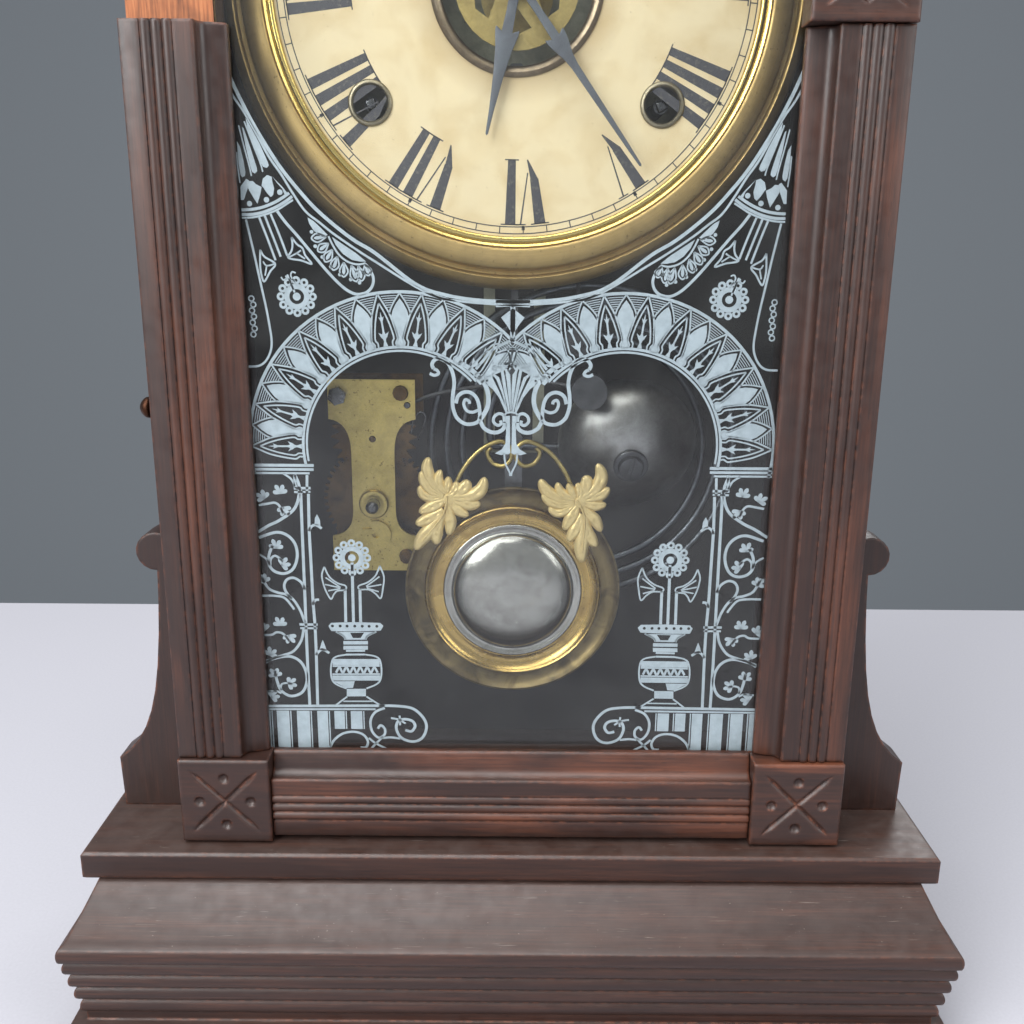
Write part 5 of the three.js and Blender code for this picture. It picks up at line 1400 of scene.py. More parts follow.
    def vase(self, s):
        """Vase with a dotted lip and a zigzag belly, and a rosette and two winged buds in it."""
        s.strokes(VASE_LINES)
        s.shapes(VASE_SHAPES)
        lip = [(-64.2, 78.4), (-63.2, 79.6), (-55, 79.9), (-46.1, 79.7), (-45, 78.6), (-46, 76.8), (-55.1, 76.4),
               (-63.3, 76.5)]
        s.fill(lip, *[circle(x, 78.4, 0.55, 8) for x in (-62.8, -60.1, -57.7, -55, -52.4, -50, -47.3)])
        s.fill([(-61.7, 76.2), (-47.5, 76.3), (-50.5, 74.8), (-51.4, 73.4), (-58.5, 73.3), (-59.2, 74.7)],
               [(-56.7, 75.9), (-51.8, 76), (-53.1, 74), (-55.8, 74)])
        self.rosette(s, -55.2, 103.4, 6.6)

    def base_band(self, s):
        """Striped band along the bottom that ends in scrolls."""
        s.strokes(BAND_LINES)
        stripes = ((-88.7, -86.2), (-84, -79.5), (-76.8, -72.2), (-69.5, -65.7), (-63.4, -59.7), (-57.5, -53.4))
        for n, (left, right) in enumerate(stripes):
            # The last two stand on the low arch.
            foot = 31.0 if n < 4 else 39.0
            s.fill([(left, 46.0), (right, 46.0), (right, foot), (left, foot)])
            s.line([(right + 0.55, 46.0), (right + 0.55, foot)], 0.4)


# ---------------------------------------------------------------- dial and hands
class CLOCK_OT_dial(ClockPiece, bpy.types.Operator):
    """Paper dial with its printed numerals and minute track"""

    bl_idname = "clock.dial"
    bl_label = "Paper dial"

    NUMERALS = ("XII", "I", "II", "III", "IIII", "V", "VI", "VII", "VIII", "IX", "X", "XI")
    WIDTHS = {"I": 4.7, "V": 7.4, "X": 9.4}

    def make(self, scene):
        c = scene.clock_dial
        refined("dial_paper", "dial_plate", dial_paper(), "case", 30.0)
        ink = dial_ink()
        y = DIAL_FACE - PRINT_GAP
        turn = math.degrees(c.turn)
        whole = Drawing()
        outer, line = mm(c.track_outer), mm(c.line)
        inner = outer - mm(c.track_width)
        track = Sheet(y)
        for radius in (outer, inner):
            track.ring(0, 0, radius, line, 180)
        whole.take(track.d, Matrix.Translation((0, 0, DIAL_Z)))
        minute, five = Sheet(y), Sheet(y)
        minute.line([(0, inner), (0, outer)], line)
        five.fill([(-0.5, inner - 0.3), (0.5, inner - 0.3), (0.55, inner + 1.1), (-0.55, inner + 1.1)])
        whole.take(around(minute.d, 60, 0, DIAL_Z, turn, 6, ink))
        whole.take(around(five.d, 12, 0, DIAL_Z, turn, 30, ink))
        for hour, letters in enumerate(self.NUMERALS):
            whole.take(self.numeral(letters, hour * 30 + turn, mm(c.numeral_inner), mm(c.numeral_outer), y))
        finished("dial_print", whole, ink, "case", flat=True)

    def numeral(self, letters, degrees, foot, head, y):
        """A numeral whose strokes run towards the dial centre and whose serifs join."""
        tall = head - foot
        middle_radius = (foot + head) / 2
        s = Sheet(y)

        def at(u, v):
            a = math.radians(degrees) + u / middle_radius
            r = foot + v
            return (r * math.sin(a), DIAL_Z + r * math.cos(a))

        def stroke(u0, v0, u1, v1, foot_wide, head_wide=None):
            head_wide = head_wide or foot_wide
            s.fill([at(u0 - foot_wide / 2, v0), at(u1 - head_wide / 2, v1), at(u1 + head_wide / 2, v1),
                    at(u0 + foot_wide / 2, v0)])

        def serif(u_, v, wide):
            s.fill([at(u_ - wide / 2, v - 0.2), at(u_ - wide / 2, v + 0.2), at(u_ + wide / 2, v + 0.2),
                    at(u_ + wide / 2, v - 0.2)])

        total = sum(self.WIDTHS[k] for k in letters)
        u = -total / 2
        for letter in letters:
            wide = self.WIDTHS[letter]
            centre, reach = u + wide / 2, wide / 2 - 1.2
            if letter == "I":
                stroke(centre, 0, centre, tall, 3.0)
                serif(centre, 0, 5.4)
                serif(centre, tall, 5.4)
            elif letter == "V":
                # The thick stroke runs to a point at the foot, and the thin one meets it a little above.
                stroke(centre, 0, centre - reach * 0.78, tall * 0.3, 0.5, 2.6)
                stroke(centre - reach * 0.78, tall * 0.3, centre - reach, tall, 2.9, 3.2)
                stroke(centre + 0.2, tall * 0.2, centre + reach + 0.6, tall, 0.45)
                serif(centre - reach, tall, 5.2)
                serif(centre + reach + 0.6, tall, 3.0)
            else:
                stroke(centre + reach, 0, centre - reach, tall, 3.1)
                stroke(centre - reach, 0, centre + reach, tall, 0.5)
                for side, heavy, light in ((-1, 3.0, 5.2), (1, 5.2, 3.0)):
                    serif(centre + side * reach, 0, heavy)
                    serif(centre + side * reach, tall, light)
            u += wide
        return s.d


class CLOCK_OT_bezel(ClockPiece, bpy.types.Operator):
    """Brass bezel, centre ring and winding grommets"""

    bl_idname = "clock.bezel"
    bl_label = "Bezel and rings"

    def make(self, scene):
        m = metal()
        y, z = DIAL_FACE, DIAL_Z
        about = (0, 0, z)
        # The fillet's brighter brass is partly polish and partly a painted highlight on its ridge.
        bright = old_metal("polished_fillet_and_highlight", m.brass_polish_and_highlight, m.brass, tarnished=0.4, roughness=(0.12, 0.3),
                           spun=True, about=about, spots=0.5)
        band = old_metal("brushed_bezel", "#cbae73", "#927d4e", tarnished=0.4, roughness=(0.4, 0.55), metallic=0.9,
                         spun=True, about=about, spots=0.4)
        fillet = beyond(y, (76.8, 0.6), (76.8, -1.2), (77.2, -1.7), (78.0, -1.9), (78.7, -1.5), (79.0, -1.1),
                        (79.4, -1.5), (80.0, -1.8), (80.4, -1.3), (80.4, 0.6))
        ring = fillet + [fillet[0]]
        finished("bezel_fillet", lathe(ring, 144, 0, z), bright, "case", ("bezel",), 45.0)
        sweep = beyond(y, (80.4, 0.6), (80.4, -1.3), (80.9, -1.8), (81.6, -1.9), (84.4, -1.5), (86.8, -0.8),
                       (87.4, -0.3), (87.6, 0.8), (88.0, 3.2), (88.0, 4.6), (86.4, 4.6), (86.4, 2.0), (84.0, 0.6),
                       (80.4, 0.6))
        finished("bezel_band", lathe(sweep, 144, 0, z), band, "case", angle=45.0)
        rim = beyond(y, (88.0, 4.6), (88.0, 3.4), (89.4, 3.0), (89.9, 1.9), (90.5, 1.6), (92.4, 2.6), (93.6, 4.2),
                     (94.2, 6.6), (94.5, 8.6), (94.2, 10.2), (93.2, 11.0), (93.0, 8.0), (91.4, 5.6), (88.0, 4.6))
        finished("bezel_rim", lathe(rim, 144, 0, z), band, "case", angle=45.0)
        hi = high("dial_centre_ring")
        r = hi.x
        copper = old_metal("centre_ring_brass", "#94856f", "#5f5344", tarnished=0.6, roughness=(0.3, 0.5),
                           about=about)
        centre = [(r - 3.5, hi.y), (r - 3.5, y + 0.2), (r - 3.2, y - 0.4), (r - 2.4, y - 1.1), (r - 1.5, y - 1.4),
                  (r - 0.7, y - 1.0), (r, y - 0.35), (r - 0.9, y - 0.3), (r - 0.9, hi.y), (r - 3.5, hi.y)]
        finished("centre_ring", lathe(centre, 96, 0, z), copper, "case", ("dial_centre_ring",),
                 45.0)
        plated = old_metal("grommet_brass", "#a39a83", "#6e6753", tarnished=0.6, roughness=(0.3, 0.5), spots=0.4)
        for side in ("left", "right"):
            node = f"winding_grommet_{side}"
            at = middle(node)
            g = beyond(y, (5.5, 2.0), (5.5, -0.2), (5.7, -0.6), (6.1, -0.95), (6.6, -0.9), (7.0, -0.6),
                       (7.2, -0.3), (6.05, -0.3), (6.05, 2.0), (5.5, 2.0))
            finished(f"nickel_grommet_{side}", lathe(g, 48, at.x, at.z), plated, "case", (node,), 45.0)


class CLOCK_OT_hands(ClockPiece, bpy.types.Operator):
    """Hands, alarm disc and the work that shows in the open centre"""

    bl_idname = "clock.hands"
    bl_label = "Hands and centre"

    def make(self, scene):
        m = metal()
        blued = old_metal("faded_blued_steel", m.blued, "#4a4a50", tarnished=0.5, roughness=(0.45, 0.6),
                          metallic=0.45)
        for node, name, half, hole, degrees, body in (
            ("minute_hand", "barbed_minute_hand", [
                (1.25, 3.4), (1.2, 12.0), (1.4, 20.4), (2.2, 20.0), (3.3, 19.4), (3.35, 20.6), (3.0, 22.6),
                (2.3, 25.0), (1.6, 27.6), (1.2, 31.0), (0.95, 45.0), (0.65, 60.0), (0.42, 67.4), (0.0, 68.0),
            ], 1.7, 143.5, "minute"),
            ("hour_hand", "barbed_hour_hand", [
                (1.6, 4.4), (1.5, 9.0), (1.75, 15.0), (2.7, 14.4), (3.8, 13.8), (3.8, 15.2), (3.3, 17.6),
                (2.75, 20.0), (2.4, 22.4), (1.8, 27.0), (0.85, 38.0), (0.42, 45.8), (0.0, 46.4),
            ], 2.8, 191.9, "hour"),
        ):
            hub = [((hole + 2.2) * math.cos(math.radians(140 + 260 * n / 20)),
                    (hole + 2.2) * math.sin(math.radians(140 + 260 * n / 20))) for n in range(21)]
            outline = half + [(-x, z) for x, z in half[-2::-1]] + hub
            hand = cut_plate([outline, circle(0, 0, hole, 24)], low(node).y, high(node).y, 0.18)
            turn = Matrix.Translation((0, 0, DIAL_Z)) @ Matrix.Rotation(math.radians(degrees), 4, "Y")
            finished(name, hand.turned(turn), blued, body, (node,), 40.0)
        worn = brass("alarm_disc_brass", tarnished=0.8, roughness=(0.3, 0.55))
        refined("spoked_alarm_disc", "alarm_disc", worn, "alarm_setting")
        refined("steel_centre_arbor", "centre_arbor", steel("arbor_steel"), "minute", 40.0)
        refined("brass_hour_pipe", "hour_pipe", worn, "hour", 40.0)


# ---------------------------------------------------------------- movement, pendulum, gong, bell and alarm
# The winding arbors stand this far below the dial's middle.
ARBOR_DROP = 35.5


class CLOCK_OT_movement(ClockPiece, bpy.types.Operator):
    """Brass plates, winding arbors and the stay of the movement"""

    bl_idname = "clock.movement"
    bl_label = "Movement"

    def make(self, scene):
        # The plates stand in the case behind the dial: their grey-green, darkened colour is tarnish and also
        # painted shade of the case's inside.
        plates = old_metal("movement_brass_and_shade", "#a0a08b", "#686b5c", tarnished=0.55, roughness=(0.3, 0.5), spots=0.4)
        for node in ("movement_front_plate", "movement_back_plate", "movement_stay"):
            refined(f"brass_{node}", node, plates, "case", 35.0)
        dark = steel("winding_steel", tarnished=0.7)
        for part in ("time", "strike"):
            body = f"{part}_winding"
            node = f"{part}_winding_wheel"
            refined(f"steel_{node}", node, dark, body, 40.0)
            x, y, z = middle(node).x, low(node).y, DIAL_Z - ARBOR_DROP
            # Squared end that the key fits, standing in the grommet.
            square = lathe(rounded(beyond(y, (0.0, -2.6), (1.9, -2.5), (2.35, -1.9), (2.35, 0.2), (0.0, 0.2)),
                                   0.3), 4)
            turn = Matrix.Translation((x, 0, z)) @ Matrix.Rotation(math.radians(20), 4, "Y")
            worn = steel(f"{part}_square_steel", roughness=(0.2, 0.35))
            finished(f"{part}_winding_square", square.turned(turn), worn, body, angle=30.0,
                     bevel=0.25)


def lobe(spine, half, front, rise=1.5):
    """One swelling lobe of a stamped leaf, from its tip to its root, with a crease along it and fine side veins."""
    path = [Vector((p.x, 0, p.y)) for p in smooth_path([Vector((x, z, 0)) for x, z in spine], 6)]
    d, count, across = Drawing(), len(path), 9
    for n, p in enumerate(path):
        t = n / (count - 1)
        along = (path[min(n + 1, count - 1)] - path[max(n - 1, 0)]).normalized()
        side = Vector((along.z, 0, -along.x))
        swell = (1 - (1 - min(t / 0.5, 1.0)) ** 2) ** 0.6 * (1 - 0.5 * max(0.0, (t - 0.5) / 0.5) ** 1.5)
        for k in range(across):
            u = 2 * k / (across - 1) - 1
            crown = rise * (1 - u * u) ** 0.6 * (0.35 + 0.65 * swell) if swell else 0.0
            crease = 0.42 * math.exp(-(u / 0.22) ** 2) + 0.12 * math.sin(t * 19 + abs(u) * 5)
            depth = front - crown + crease * (1 - u * u) * swell
            d.corners.append(p + side * (u * half * max(swell, 0.06)) + Vector((0, depth, 0)))
    for n in range(count - 1):
        a, b = n * across, (n + 1) * across
        for k in range(across - 1):
            d.faces.append([a + k, a + k + 1, b + k + 1, b + k])
        d.faces.append([a, b, b + across - 1, a + across - 1])
    d.faces.append(list(range(across))[::-1])
    d.faces.append([(count - 1) * across + k for k in range(across)])
    return d


# Lobes of the stamped leaf from its stem: half width, how far each sits back, and its spine from tip to root.
LEAF_LOBES = (
    (2.3625, 0.0, [(-6.7, 15), (-7.4, 11), (-6, 6.1), (-1.6, 1.2)]),
    (2.0125, 0.06, [(-9.5, 9.9), (-8.7, 6.1), (-6.1, 2.5), (-1.6, 0.5)]),
    (2.0125, 0.12, [(-10.3, 4.4), (-9.1, 1.1), (-5.9, -0.2), (-1.6, 0.1)]),
    (2.0125, 0.04, [(-2.4, 10.4), (-3.4, 7), (-2.6, 3.9), (-0.5, 1.5)]),
    (1.75, 0.08, [(0.3, 7.9), (0.2, 5.6), (-0.2, 3.1), (-0.2, 1.5)]),
    (2.625, 0.0, [(13.6, 7.8), (12.1, 3), (7.6, 0.2), (0.8, 0.1)]),
    (2.625, 0.06, [(7.1, 6.8), (6.5, 4.3), (4.1, 1.8), (0.9, 0.5)]),
    (1.8375, 0.1, [(3.2, 6.1), (3, 4), (1.9, 2), (0.3, 1.1)]),
    (2.3625, 0.12, [(12.1, -2.2), (8.4, -2.8), (4.9, -1.7), (1.1, -0.3)]),
    (2.1875, 0.16, [(7.7, -6.9), (4.6, -5.4), (2.4, -3.2), (0.8, -1)]),
    (2.835, 0.0, [(-12.2, -20.3), (-9.3, -15.4), (-4.9, -10.8), (-1.1, -5.7)]),
    (2.5375, 0.08, [(-12, -10.3), (-8.4, -8.9), (-5.1, -7.3), (-1.6, -4.6)]),
    (2.625, 0.1, [(-10.7, -5.8), (-6.7, -4.1), (-4, -2.7), (-0.8, -1)]),
    (2.45, 0.14, [(-4.1, -18.2), (-4.4, -15), (-3.9, -11.9), (-2.1, -7.7)]),
    (2.3625, 0.1, [(0.2, -14.5), (0.9, -10.2), (0.5, -6.9), (-0.1, -2.4)]),
)
LEAF_VEIN = [(-0.2, 0.9), (-0.4, -1.8), (-1.6, -6), (-4.1, -9.7), (-6.8, -13.1), (-9.9, -16.8)]


class CLOCK_OT_pendulum(ClockPiece, bpy.types.Operator):
    """Rod, dish, silvered dome, wire yoke and gilt leaves of the pendulum"""

    bl_idname = "clock.pendulum"
    bl_label = "Pendulum"

    def make(self, scene):
        m = metal()
        rod = steel("rod_steel", roughness=(0.35, 0.55))
        refined("steel_pendulum_rod", "pendulum_rod", rod, "pendulum")
        x, z = BOB.x, BOB.z
        y = high("bob_dish").y - 2.6
        about = (x, 0, z)
        # The flange is coloured much darker than the ring: partly dull old brass, partly painted shade.
        flange = old_metal("bob_flange_brass_and_shade", "#80704c", "#433a2a", tarnished=0.9, roughness=(0.34, 0.52),
                           spun=True, about=about, spots=0.5)
        ring = old_metal("bob_ring_brass", "#c6a865", "#86693a", tarnished=0.6, roughness=(0.2, 0.36),
                         spun=True, about=about, spots=0.4)
        outer = beyond(y, (33.4, 2.6), (37.0, 2.6), (40.2, -0.6), (40.6, -1.1), (40.4, -1.6), (39.8, -1.7),
                       (39.0, -0.9), (37.6, 0.2), (35.4, 0.5), (33.4, 0.3), (33.4, 2.6))
        finished("bob_flange", lathe(outer, 120, x, z), flange, "pendulum", ("bob_dish",), 50.0)
        inner = beyond(y, (0.0, 2.6), (33.4, 2.6), (33.4, -0.6), (33.3, -1.8), (33.0, -2.4), (32.6, -2.6),
                       (32.2, -2.4), (31.9, -1.9), (31.2, -1.2), (30.0, -0.6), (28.6, -0.3), (27.2, -0.4),
                       (26.3, -0.7), (25.9, -0.5), (25.2, -0.1), (0.0, -0.1))
        finished("bob_ring", lathe(inner, 120, x, z), ring, "pendulum", angle=50.0)
        dome = beyond(y, (0.0, -0.1), (26.0, -0.1), (26.2, -1.2), (25.9, -1.7), (25.4, -1.8), (24.6, -1.3),
                      (23.4, -1.1), (22.8, -1.2))
        dome += [(22.6 * math.cos(a) ** 0.85, y - 1.3 - 5.9 * math.sin(a) ** 0.95)
                 for a in (math.pi / 2 * k / 20 for k in range(1, 20))]
        dome.append((0.0, y - 7.2))
        silver = old_metal("silvered_dome", "#aeada6", "#7c7972", tarnished=0.4, roughness=(0.16, 0.28),
                           about=about, pitted=0.04)
        finished("silvered_bob_dome", lathe(dome, 96, x, z), silver, "pendulum", ("bob_dome",), 60.0)
        self.yoke()
        self.leaves(m)

    def yoke(self):
        wire_brass = old_metal("yoke_brass", "#b8a565", "#77683a", tarnished=0.5, roughness=(0.25, 0.42))
        y, top = middle("bob_yoke").y, high("bob_yoke").z - 0.95
        d = Drawing()
        for side in (-1, 1):
            # One wire a side: up from the leaf, over the shoulder, and round into a curl beside the rod.
            path = beyond(top, (24.0, -23.6), (21.6, -17.4), (18.4, -10.6), (13.6, -4.6), (8.6, -1.2), (4.2, -0.2),
                          (1.2, -2.6), (1.0, -6.6), (3.8, -9.2), (7.6, -8.4), (9.6, -4.8), (8.2, -2.6))
            points = [Vector((side * px, y + (0.9 if n > 8 else 0.0), pz)) for n, (px, pz) in enumerate(path)]
            d.take(wired(smooth_path(points, 6), 0.9, wire_brass))
        finished("wire_yoke", d, wire_brass, "pendulum", ("bob_yoke",), 50.0)

    def leaves(self, m):
        gilt = old_metal("gilt_leaf", m.gilt, "#b39356", tarnished=0.3, roughness=(0.34, 0.5), metallic=0.45)
        for side, turn in (("left", 0.0), ("right", -35.6)):
            node = f"bob_leaf_{side}"
            x = -24.0 if side == "left" else 24.0
            z = BOB.z + (37.0 if side == "left" else 35.9)
            place = Matrix.Translation((x, 0, z)) @ Matrix.Rotation(math.radians(turn), 4, "Y")
            front = low(node).y + 0.9
            leaf = Drawing()
            for half, back, spine in LEAF_LOBES:
                leaf.take(lobe(spine, half, front + back))
            leaf.take(lathe(beyond(front, (0.0, 0.0), (2.6, 0.0), (2.2, -0.9), (0.0, -1.5)), 24, 0.6, -0.6))
            vein = [Vector((px, front - 1.4, pz)) for px, pz in LEAF_VEIN]
            leaf.take(wire(smooth_path(vein, 4), 0.45, 8, lambda t: 1.0 - 0.6 * t))
            finished(f"gilt_leaf_{side}", leaf.turned(place), gilt, "pendulum", (node,), 50.0)


class CLOCK_OT_strike(ClockPiece, bpy.types.Operator):
    """Coil gong, bell and strike hammer"""

    bl_idname = "clock.strike"
    bl_label = "Gong, bell and hammer"

    def make(self, scene):
        m = metal()
        blue = old_metal("gong_steel", "#6f757b", "#33373b", tarnished=0.5, roughness=(0.28, 0.45))
        block = middle("gong_block")
        x, y, z = block.x, middle("gong").y, block.z
        root, lead, inner, spacing, turns, steps = 6.0, 31.5, 43.5, 6.2, 3.5, 72
        # Straight out of the block, then round and round, with an easy bend between the two.
        path = [(x - (root + lead * n / 9), y, z) for n in range(9)]
        for n in range(int(turns * steps) + 1):
            a = TAU * n / steps
            r = inner + spacing * a / TAU - (inner - root - lead) * math.exp(-a / 0.5)
            path.append((x - r * math.cos(a), y, z + r * math.sin(a)))
        finished("coiled_gong", wired(path, 1.5, blue, 10), blue, "case", ("gong",), 60.0)
        japanned = old_metal("japanned_iron", m.iron, "#20120c", tarnished=0.6, roughness=(0.4, 0.6))
        refined("iron_gong_block", "gong_block", japanned, "case", 40.0)
        self.bell()
        matte = steel("hammer_steel", tarnished=0.4, roughness=(0.45, 0.65))
        refined("steel_strike_hammer", "strike_hammer", matte, "strike_hammer", 40.0)

    def bell(self):
        """Nickel-plated bell on its post, with a slotted crown screw and a washer."""
        rim_at = (44.2, DOOR_FRONT + 72.0, SLAB_TOP + 133.0)
        tilt = Matrix.Translation(rim_at) @ Matrix.Rotation(math.radians(18), 4, "X")
        radius, tall, wall, hole = 27.0, 19.0, 1.1, 2.0
        out_angles = [math.pi / 2 * 0.93 * k / 22 for k in range(23)]
        in_angles = [math.pi / 2 * 0.92 * k / 22 for k in range(22, -1, -1)]
        outside = [(radius * math.cos(a), -tall * math.sin(a)) for a in out_angles]
        inside = [((radius - wall) * math.cos(a), (wall - tall) * math.sin(a)) for a in in_angles]
        lip = (radius - 0.2, 0.0)
        skin = [lip] + outside[1:] + [(hole, 0.1 - tall), (hole, wall - tall)] + inside + [lip]
        plated = old_metal("bell_nickel", metal().nickel, "#6b6963", tarnished=0.5, roughness=(0.28, 0.45),
                           spots=0.1)
        finished("nickel_bell", lathe(skin, 96).turned(tilt), plated, "case", ("bell",), 45.0)
        dull = steel("bell_screw_steel", roughness=(0.25, 0.45), spots=0.5)
        refined("steel_bell_post", "bell_post", dull, "case", 40.0)
        washer = beyond(-tall, (0.0, 0.0), (6.6, 0.0), (6.6, -1.0), (6.0, -1.3), (0.0, -1.3))
        # The head is two cheeks on a disc, with the slot between them.
        head, slot_half = 4.5, 0.55
        angles = [math.radians(-90 + 7 + (180 - 14) * n / 24) for n in range(25)]
        half = [(max(head * math.cos(a), slot_half), head * math.sin(a)) for a in angles]
        cheek = cut_plate([half], -tall - 3.0, -tall - 1.2, 0.3)
        under = cut_plate([circle(0, 0, head, 32)], -tall - 1.9, -tall - 1.1, 0.1)
        screw = Drawing().take(lathe(rounded(washer, 0.3), 48)).take(under).take(cheek)
        screw.take(cheek, Matrix.Rotation(math.pi, 4, "Y"))
        place = tilt @ Matrix.Rotation(math.radians(14), 4, "Y")
        finished("bell_crown_screw", screw.turned(place), dull, "case", angle=40.0)


class CLOCK_OT_alarm(ClockPiece, bpy.types.Operator):
    """Alarm movement with its wheels, stop work, hammer and spring"""

    bl_idname = "clock.alarm"
    bl_label = "Alarm"

    def make(self, scene):
        m = metal()
        plates = old_metal("alarm_brass", "#d2bd72", m.tarnish, tarnished=0.35, roughness=(0.36, 0.52), spots=0.6)
        # The back plate and the wheels between the plates are coloured far darker than the front plate: painted
        # shade, with tarnish.
        dark = old_metal("alarm_wheel_brass_and_shade", "#6b5231", "#33261a", tarnished=0.8, roughness=(0.4, 0.6))
        refined("brass_alarm_front_plate", "alarm_front_plate", plates, "case", 35.0)
        refined("brass_alarm_back_plate", "alarm_back_plate", dark, "case", 40.0)
        refined("toothed_alarm_wheel", "alarm_main_wheel", dark, "alarm_winding", 35.0)
        refined("toothed_alarm_escape_wheel", "alarm_escape_wheel", dark, "alarm_escape", 35.0)
        refined("brass_alarm_stop", "alarm_stop", plates, "case", 35.0)
        matte = steel("alarm_hammer_steel", tarnished=0.4, roughness=(0.5, 0.7))
        refined("steel_alarm_hammer", "alarm_hammer", matte, "alarm_hammer", 40.0)
        self.fittings(plates)

    def fittings(self, plates):
        plate_hi = high("alarm_front_plate")
        front, x = low("alarm_front_plate").y, middle("alarm_front_plate").x
        bright = steel("alarm_arbor_steel", tarnished=0.3, roughness=(0.18, 0.32))
        arbor = middle("alarm_main_wheel")
        # Rounded, slotted end of the winding arbor in the middle of its collar.
        end = lathe(rounded(beyond(front, (0.0, -8.4), (1.4, -8.2), (2.3, -7.2), (2.5, -6.6), (2.5, -1.8),
                                   (0.0, -1.8)), 0.4), 32, x, arbor.z)
        finished("alarm_arbor_end", end, bright, "alarm_winding", angle=50.0)
        collar = lathe(beyond(front, (2.6, -0.4), (5.4, -0.4), (5.7, -1.2), (5.2, -2.1), (4.4, -2.3), (3.4, -1.9),
                              (2.6, -1.9), (2.6, -0.4)), 48, x, arbor.z)
        finished("alarm_collar", collar, plates, "alarm_winding", angle=40.0)
        # Hexagon nut on the upper left pillar.
        pillar = (x - 12.6, plate_hi.z - 6.0)
        nut = cut_plate([circle(*pillar, 3.6, 6, 0.3)], front - 3.0, front - 0.35, 0.3)
        finished("alarm_nut", nut, bright, "case", angle=30.0)
        # Hairpin spring beside the escape wheel.
        foot = Vector((plate_hi.x, front, middle("alarm_escape_wheel").z))
        bends = ((0.6, 5.0, -1.0), (2.6, 3.2, 4.0), (3.6, 2.4, 8.4), (2.0, 2.2, 10.2), (-0.6, 2.6, 8.0),
                 (-2.0, 3.2, 2.0))
        pts = [foot + Vector(bend) for bend in bends]
        finished("alarm_hairpin_spring", wired(smooth_path(pts, 6), 0.35, bright, 8), bright, "case",
                 angle=60.0)


# ---------------------------------------------------------------- surroundings
ROOM_LIGHT = (0.86, 0.88, 0.92, 1.0)
TABLE_HALF, TABLE_NEAR = 3.0, -2.4
# The wall stands well behind the table, so that a viewer can go round the clock.
WALL_Y, WALL_HALF, WALL_FOOT, WALL_TOP = 3.2, 6.0, -2.0, 3.5


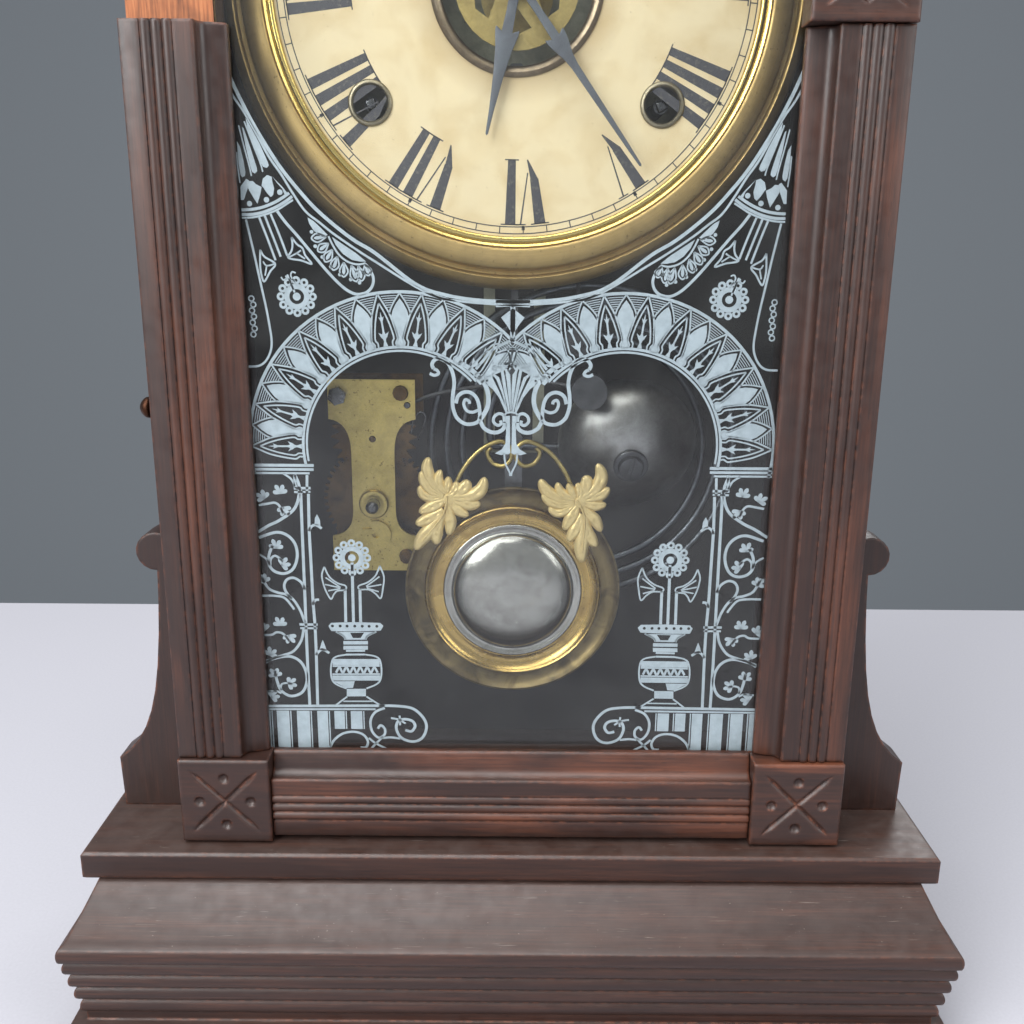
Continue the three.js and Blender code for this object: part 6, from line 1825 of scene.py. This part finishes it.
class CLOCK_OT_stage(ClockPiece, bpy.types.Operator):
    """Pale table top, grey wall, soft lamps and the camera"""

    bl_idname = "clock.stage"
    bl_label = "Stage and camera"

    def make(self, scene):
        s = scene.clock_stage
        x, near, far = TABLE_HALF, TABLE_NEAR, s.table_edge
        self.surface("studio_floor", [(-x, near, 0.0), (x, near, 0.0), (x, far, 0.0), (-x, far, 0.0)], s.floor)
        x, y = WALL_HALF, WALL_Y
        self.surface("studio_backdrop", [(-x, y, WALL_FOOT), (x, y, WALL_FOOT), (x, y, WALL_TOP),
                                         (-x, y, WALL_TOP)], s.backdrop)
        for name, place, aim, size, power in (
            ("overhead_softbox", (-0.3, -0.55, 1.5), (0.0, 0.0, 0.25), 1.2, 30.0),
            ("window_left", (-1.0, -1.1, 0.9), (0.0, 0.0, 0.25), 0.9, 32.0),
            ("window_right", (1.25, -0.8, 0.8), (0.0, 0.0, 0.25), 0.9, 12.0),
            ("window_behind", (0.6, 1.5, 1.2), (0.0, 0.0, 0.3), 0.9, 12.0),
        ):
            data = bpy.data.lights.new(name, "AREA")
            data.shape = "SQUARE"
            data.size = size
            data.energy = power
            lamp = placed(name, data)
            lamp.location = place
            lamp.rotation_euler = (Vector(aim) - Vector(place)).to_track_quat("-Z", "Y").to_euler()
        world = bpy.data.worlds.new("soft_room")
        world.use_nodes = True
        world.node_tree.nodes.clear()
        glow = add(world.node_tree, "ShaderNodeBackground", {"Color": ROOM_LIGHT, "Strength": 0.6})
        add(world.node_tree, "ShaderNodeOutputWorld", {"Surface": glow.outputs[0]})
        scene.world = world
        data = bpy.data.cameras.new("eye")
        data.sensor_width = 36.0
        data.lens = s.lens / MM
        data.clip_start = 0.01
        eye = placed("eye", data)
        aimed = Matrix.Rotation(math.pi / 2 - s.pitch, 4, "X") @ Matrix.Rotation(s.roll, 4, "Z")
        eye.matrix_world = Matrix.Translation(s.eye) @ aimed
        scene.camera = eye
        scene.view_settings.view_transform = "Standard"

    @staticmethod
    def surface(name, corners, colour):
        mesh = bpy.data.meshes.new(name)
        mesh.from_pydata(corners, [], [[0, 1, 2, 3]])
        plain = placed(name, mesh)
        material, tree = new_material(name)
        cloth = noise(tree, in_mm(tree), 1.2, 4)
        tint = patched(tree, linear(colour), cloth, 0.35, 0.7, 0.1, "#77777c")
        coated(tree, tint, 0.85)
        mesh.materials.append(material)


# ---------------------------------------------------------------- panel and registration
class CLOCK_PT_panel(bpy.types.Panel):
    """Lists what the clock is made of, with its sizes and colours"""

    bl_label = "Parlour shelf clock"
    bl_idname = "CLOCK_PT_panel"
    bl_space_type = "VIEW_3D"
    bl_region_type = "UI"
    bl_category = "Clock"

    def draw(self, context):
        layout = self.layout
        for group in GROUPS:
            box = layout.box()
            settings = getattr(context.scene, group)
            for name in settings.__annotations__:
                box.prop(settings, name)
        for operator in OPERATORS:
            layout.operator(operator.bl_idname)


OPERATORS = (
    CLOCK_OT_stage, CLOCK_OT_case, CLOCK_OT_base, CLOCK_OT_mouldings, CLOCK_OT_blocks, CLOCK_OT_door,
    CLOCK_OT_glass, CLOCK_OT_tablet, CLOCK_OT_dial, CLOCK_OT_bezel, CLOCK_OT_hands, CLOCK_OT_movement,
    CLOCK_OT_pendulum, CLOCK_OT_strike, CLOCK_OT_alarm,
)


def register():
    for group in GROUPS.values():
        bpy.utils.register_class(group)
    for operator in OPERATORS:
        bpy.utils.register_class(operator)
    bpy.utils.register_class(CLOCK_PT_panel)
    for name, group in GROUPS.items():
        setattr(bpy.types.Scene, name, PointerProperty(type=group))


def unregister():
    for name in GROUPS:
        delattr(bpy.types.Scene, name)
    bpy.utils.unregister_class(CLOCK_PT_panel)
    for kind in reversed(OPERATORS):
        bpy.utils.unregister_class(kind)
    for group in reversed(list(GROUPS.values())):
        bpy.utils.unregister_class(group)


def main():
    register()
    for operator in OPERATORS:
        family, name = operator.bl_idname.split(".")
        if getattr(getattr(bpy.ops, family), name)() != {"FINISHED"}:
            raise RuntimeError(f"{operator.bl_label} wasn't made")


if __name__ == "__main__":
    main()
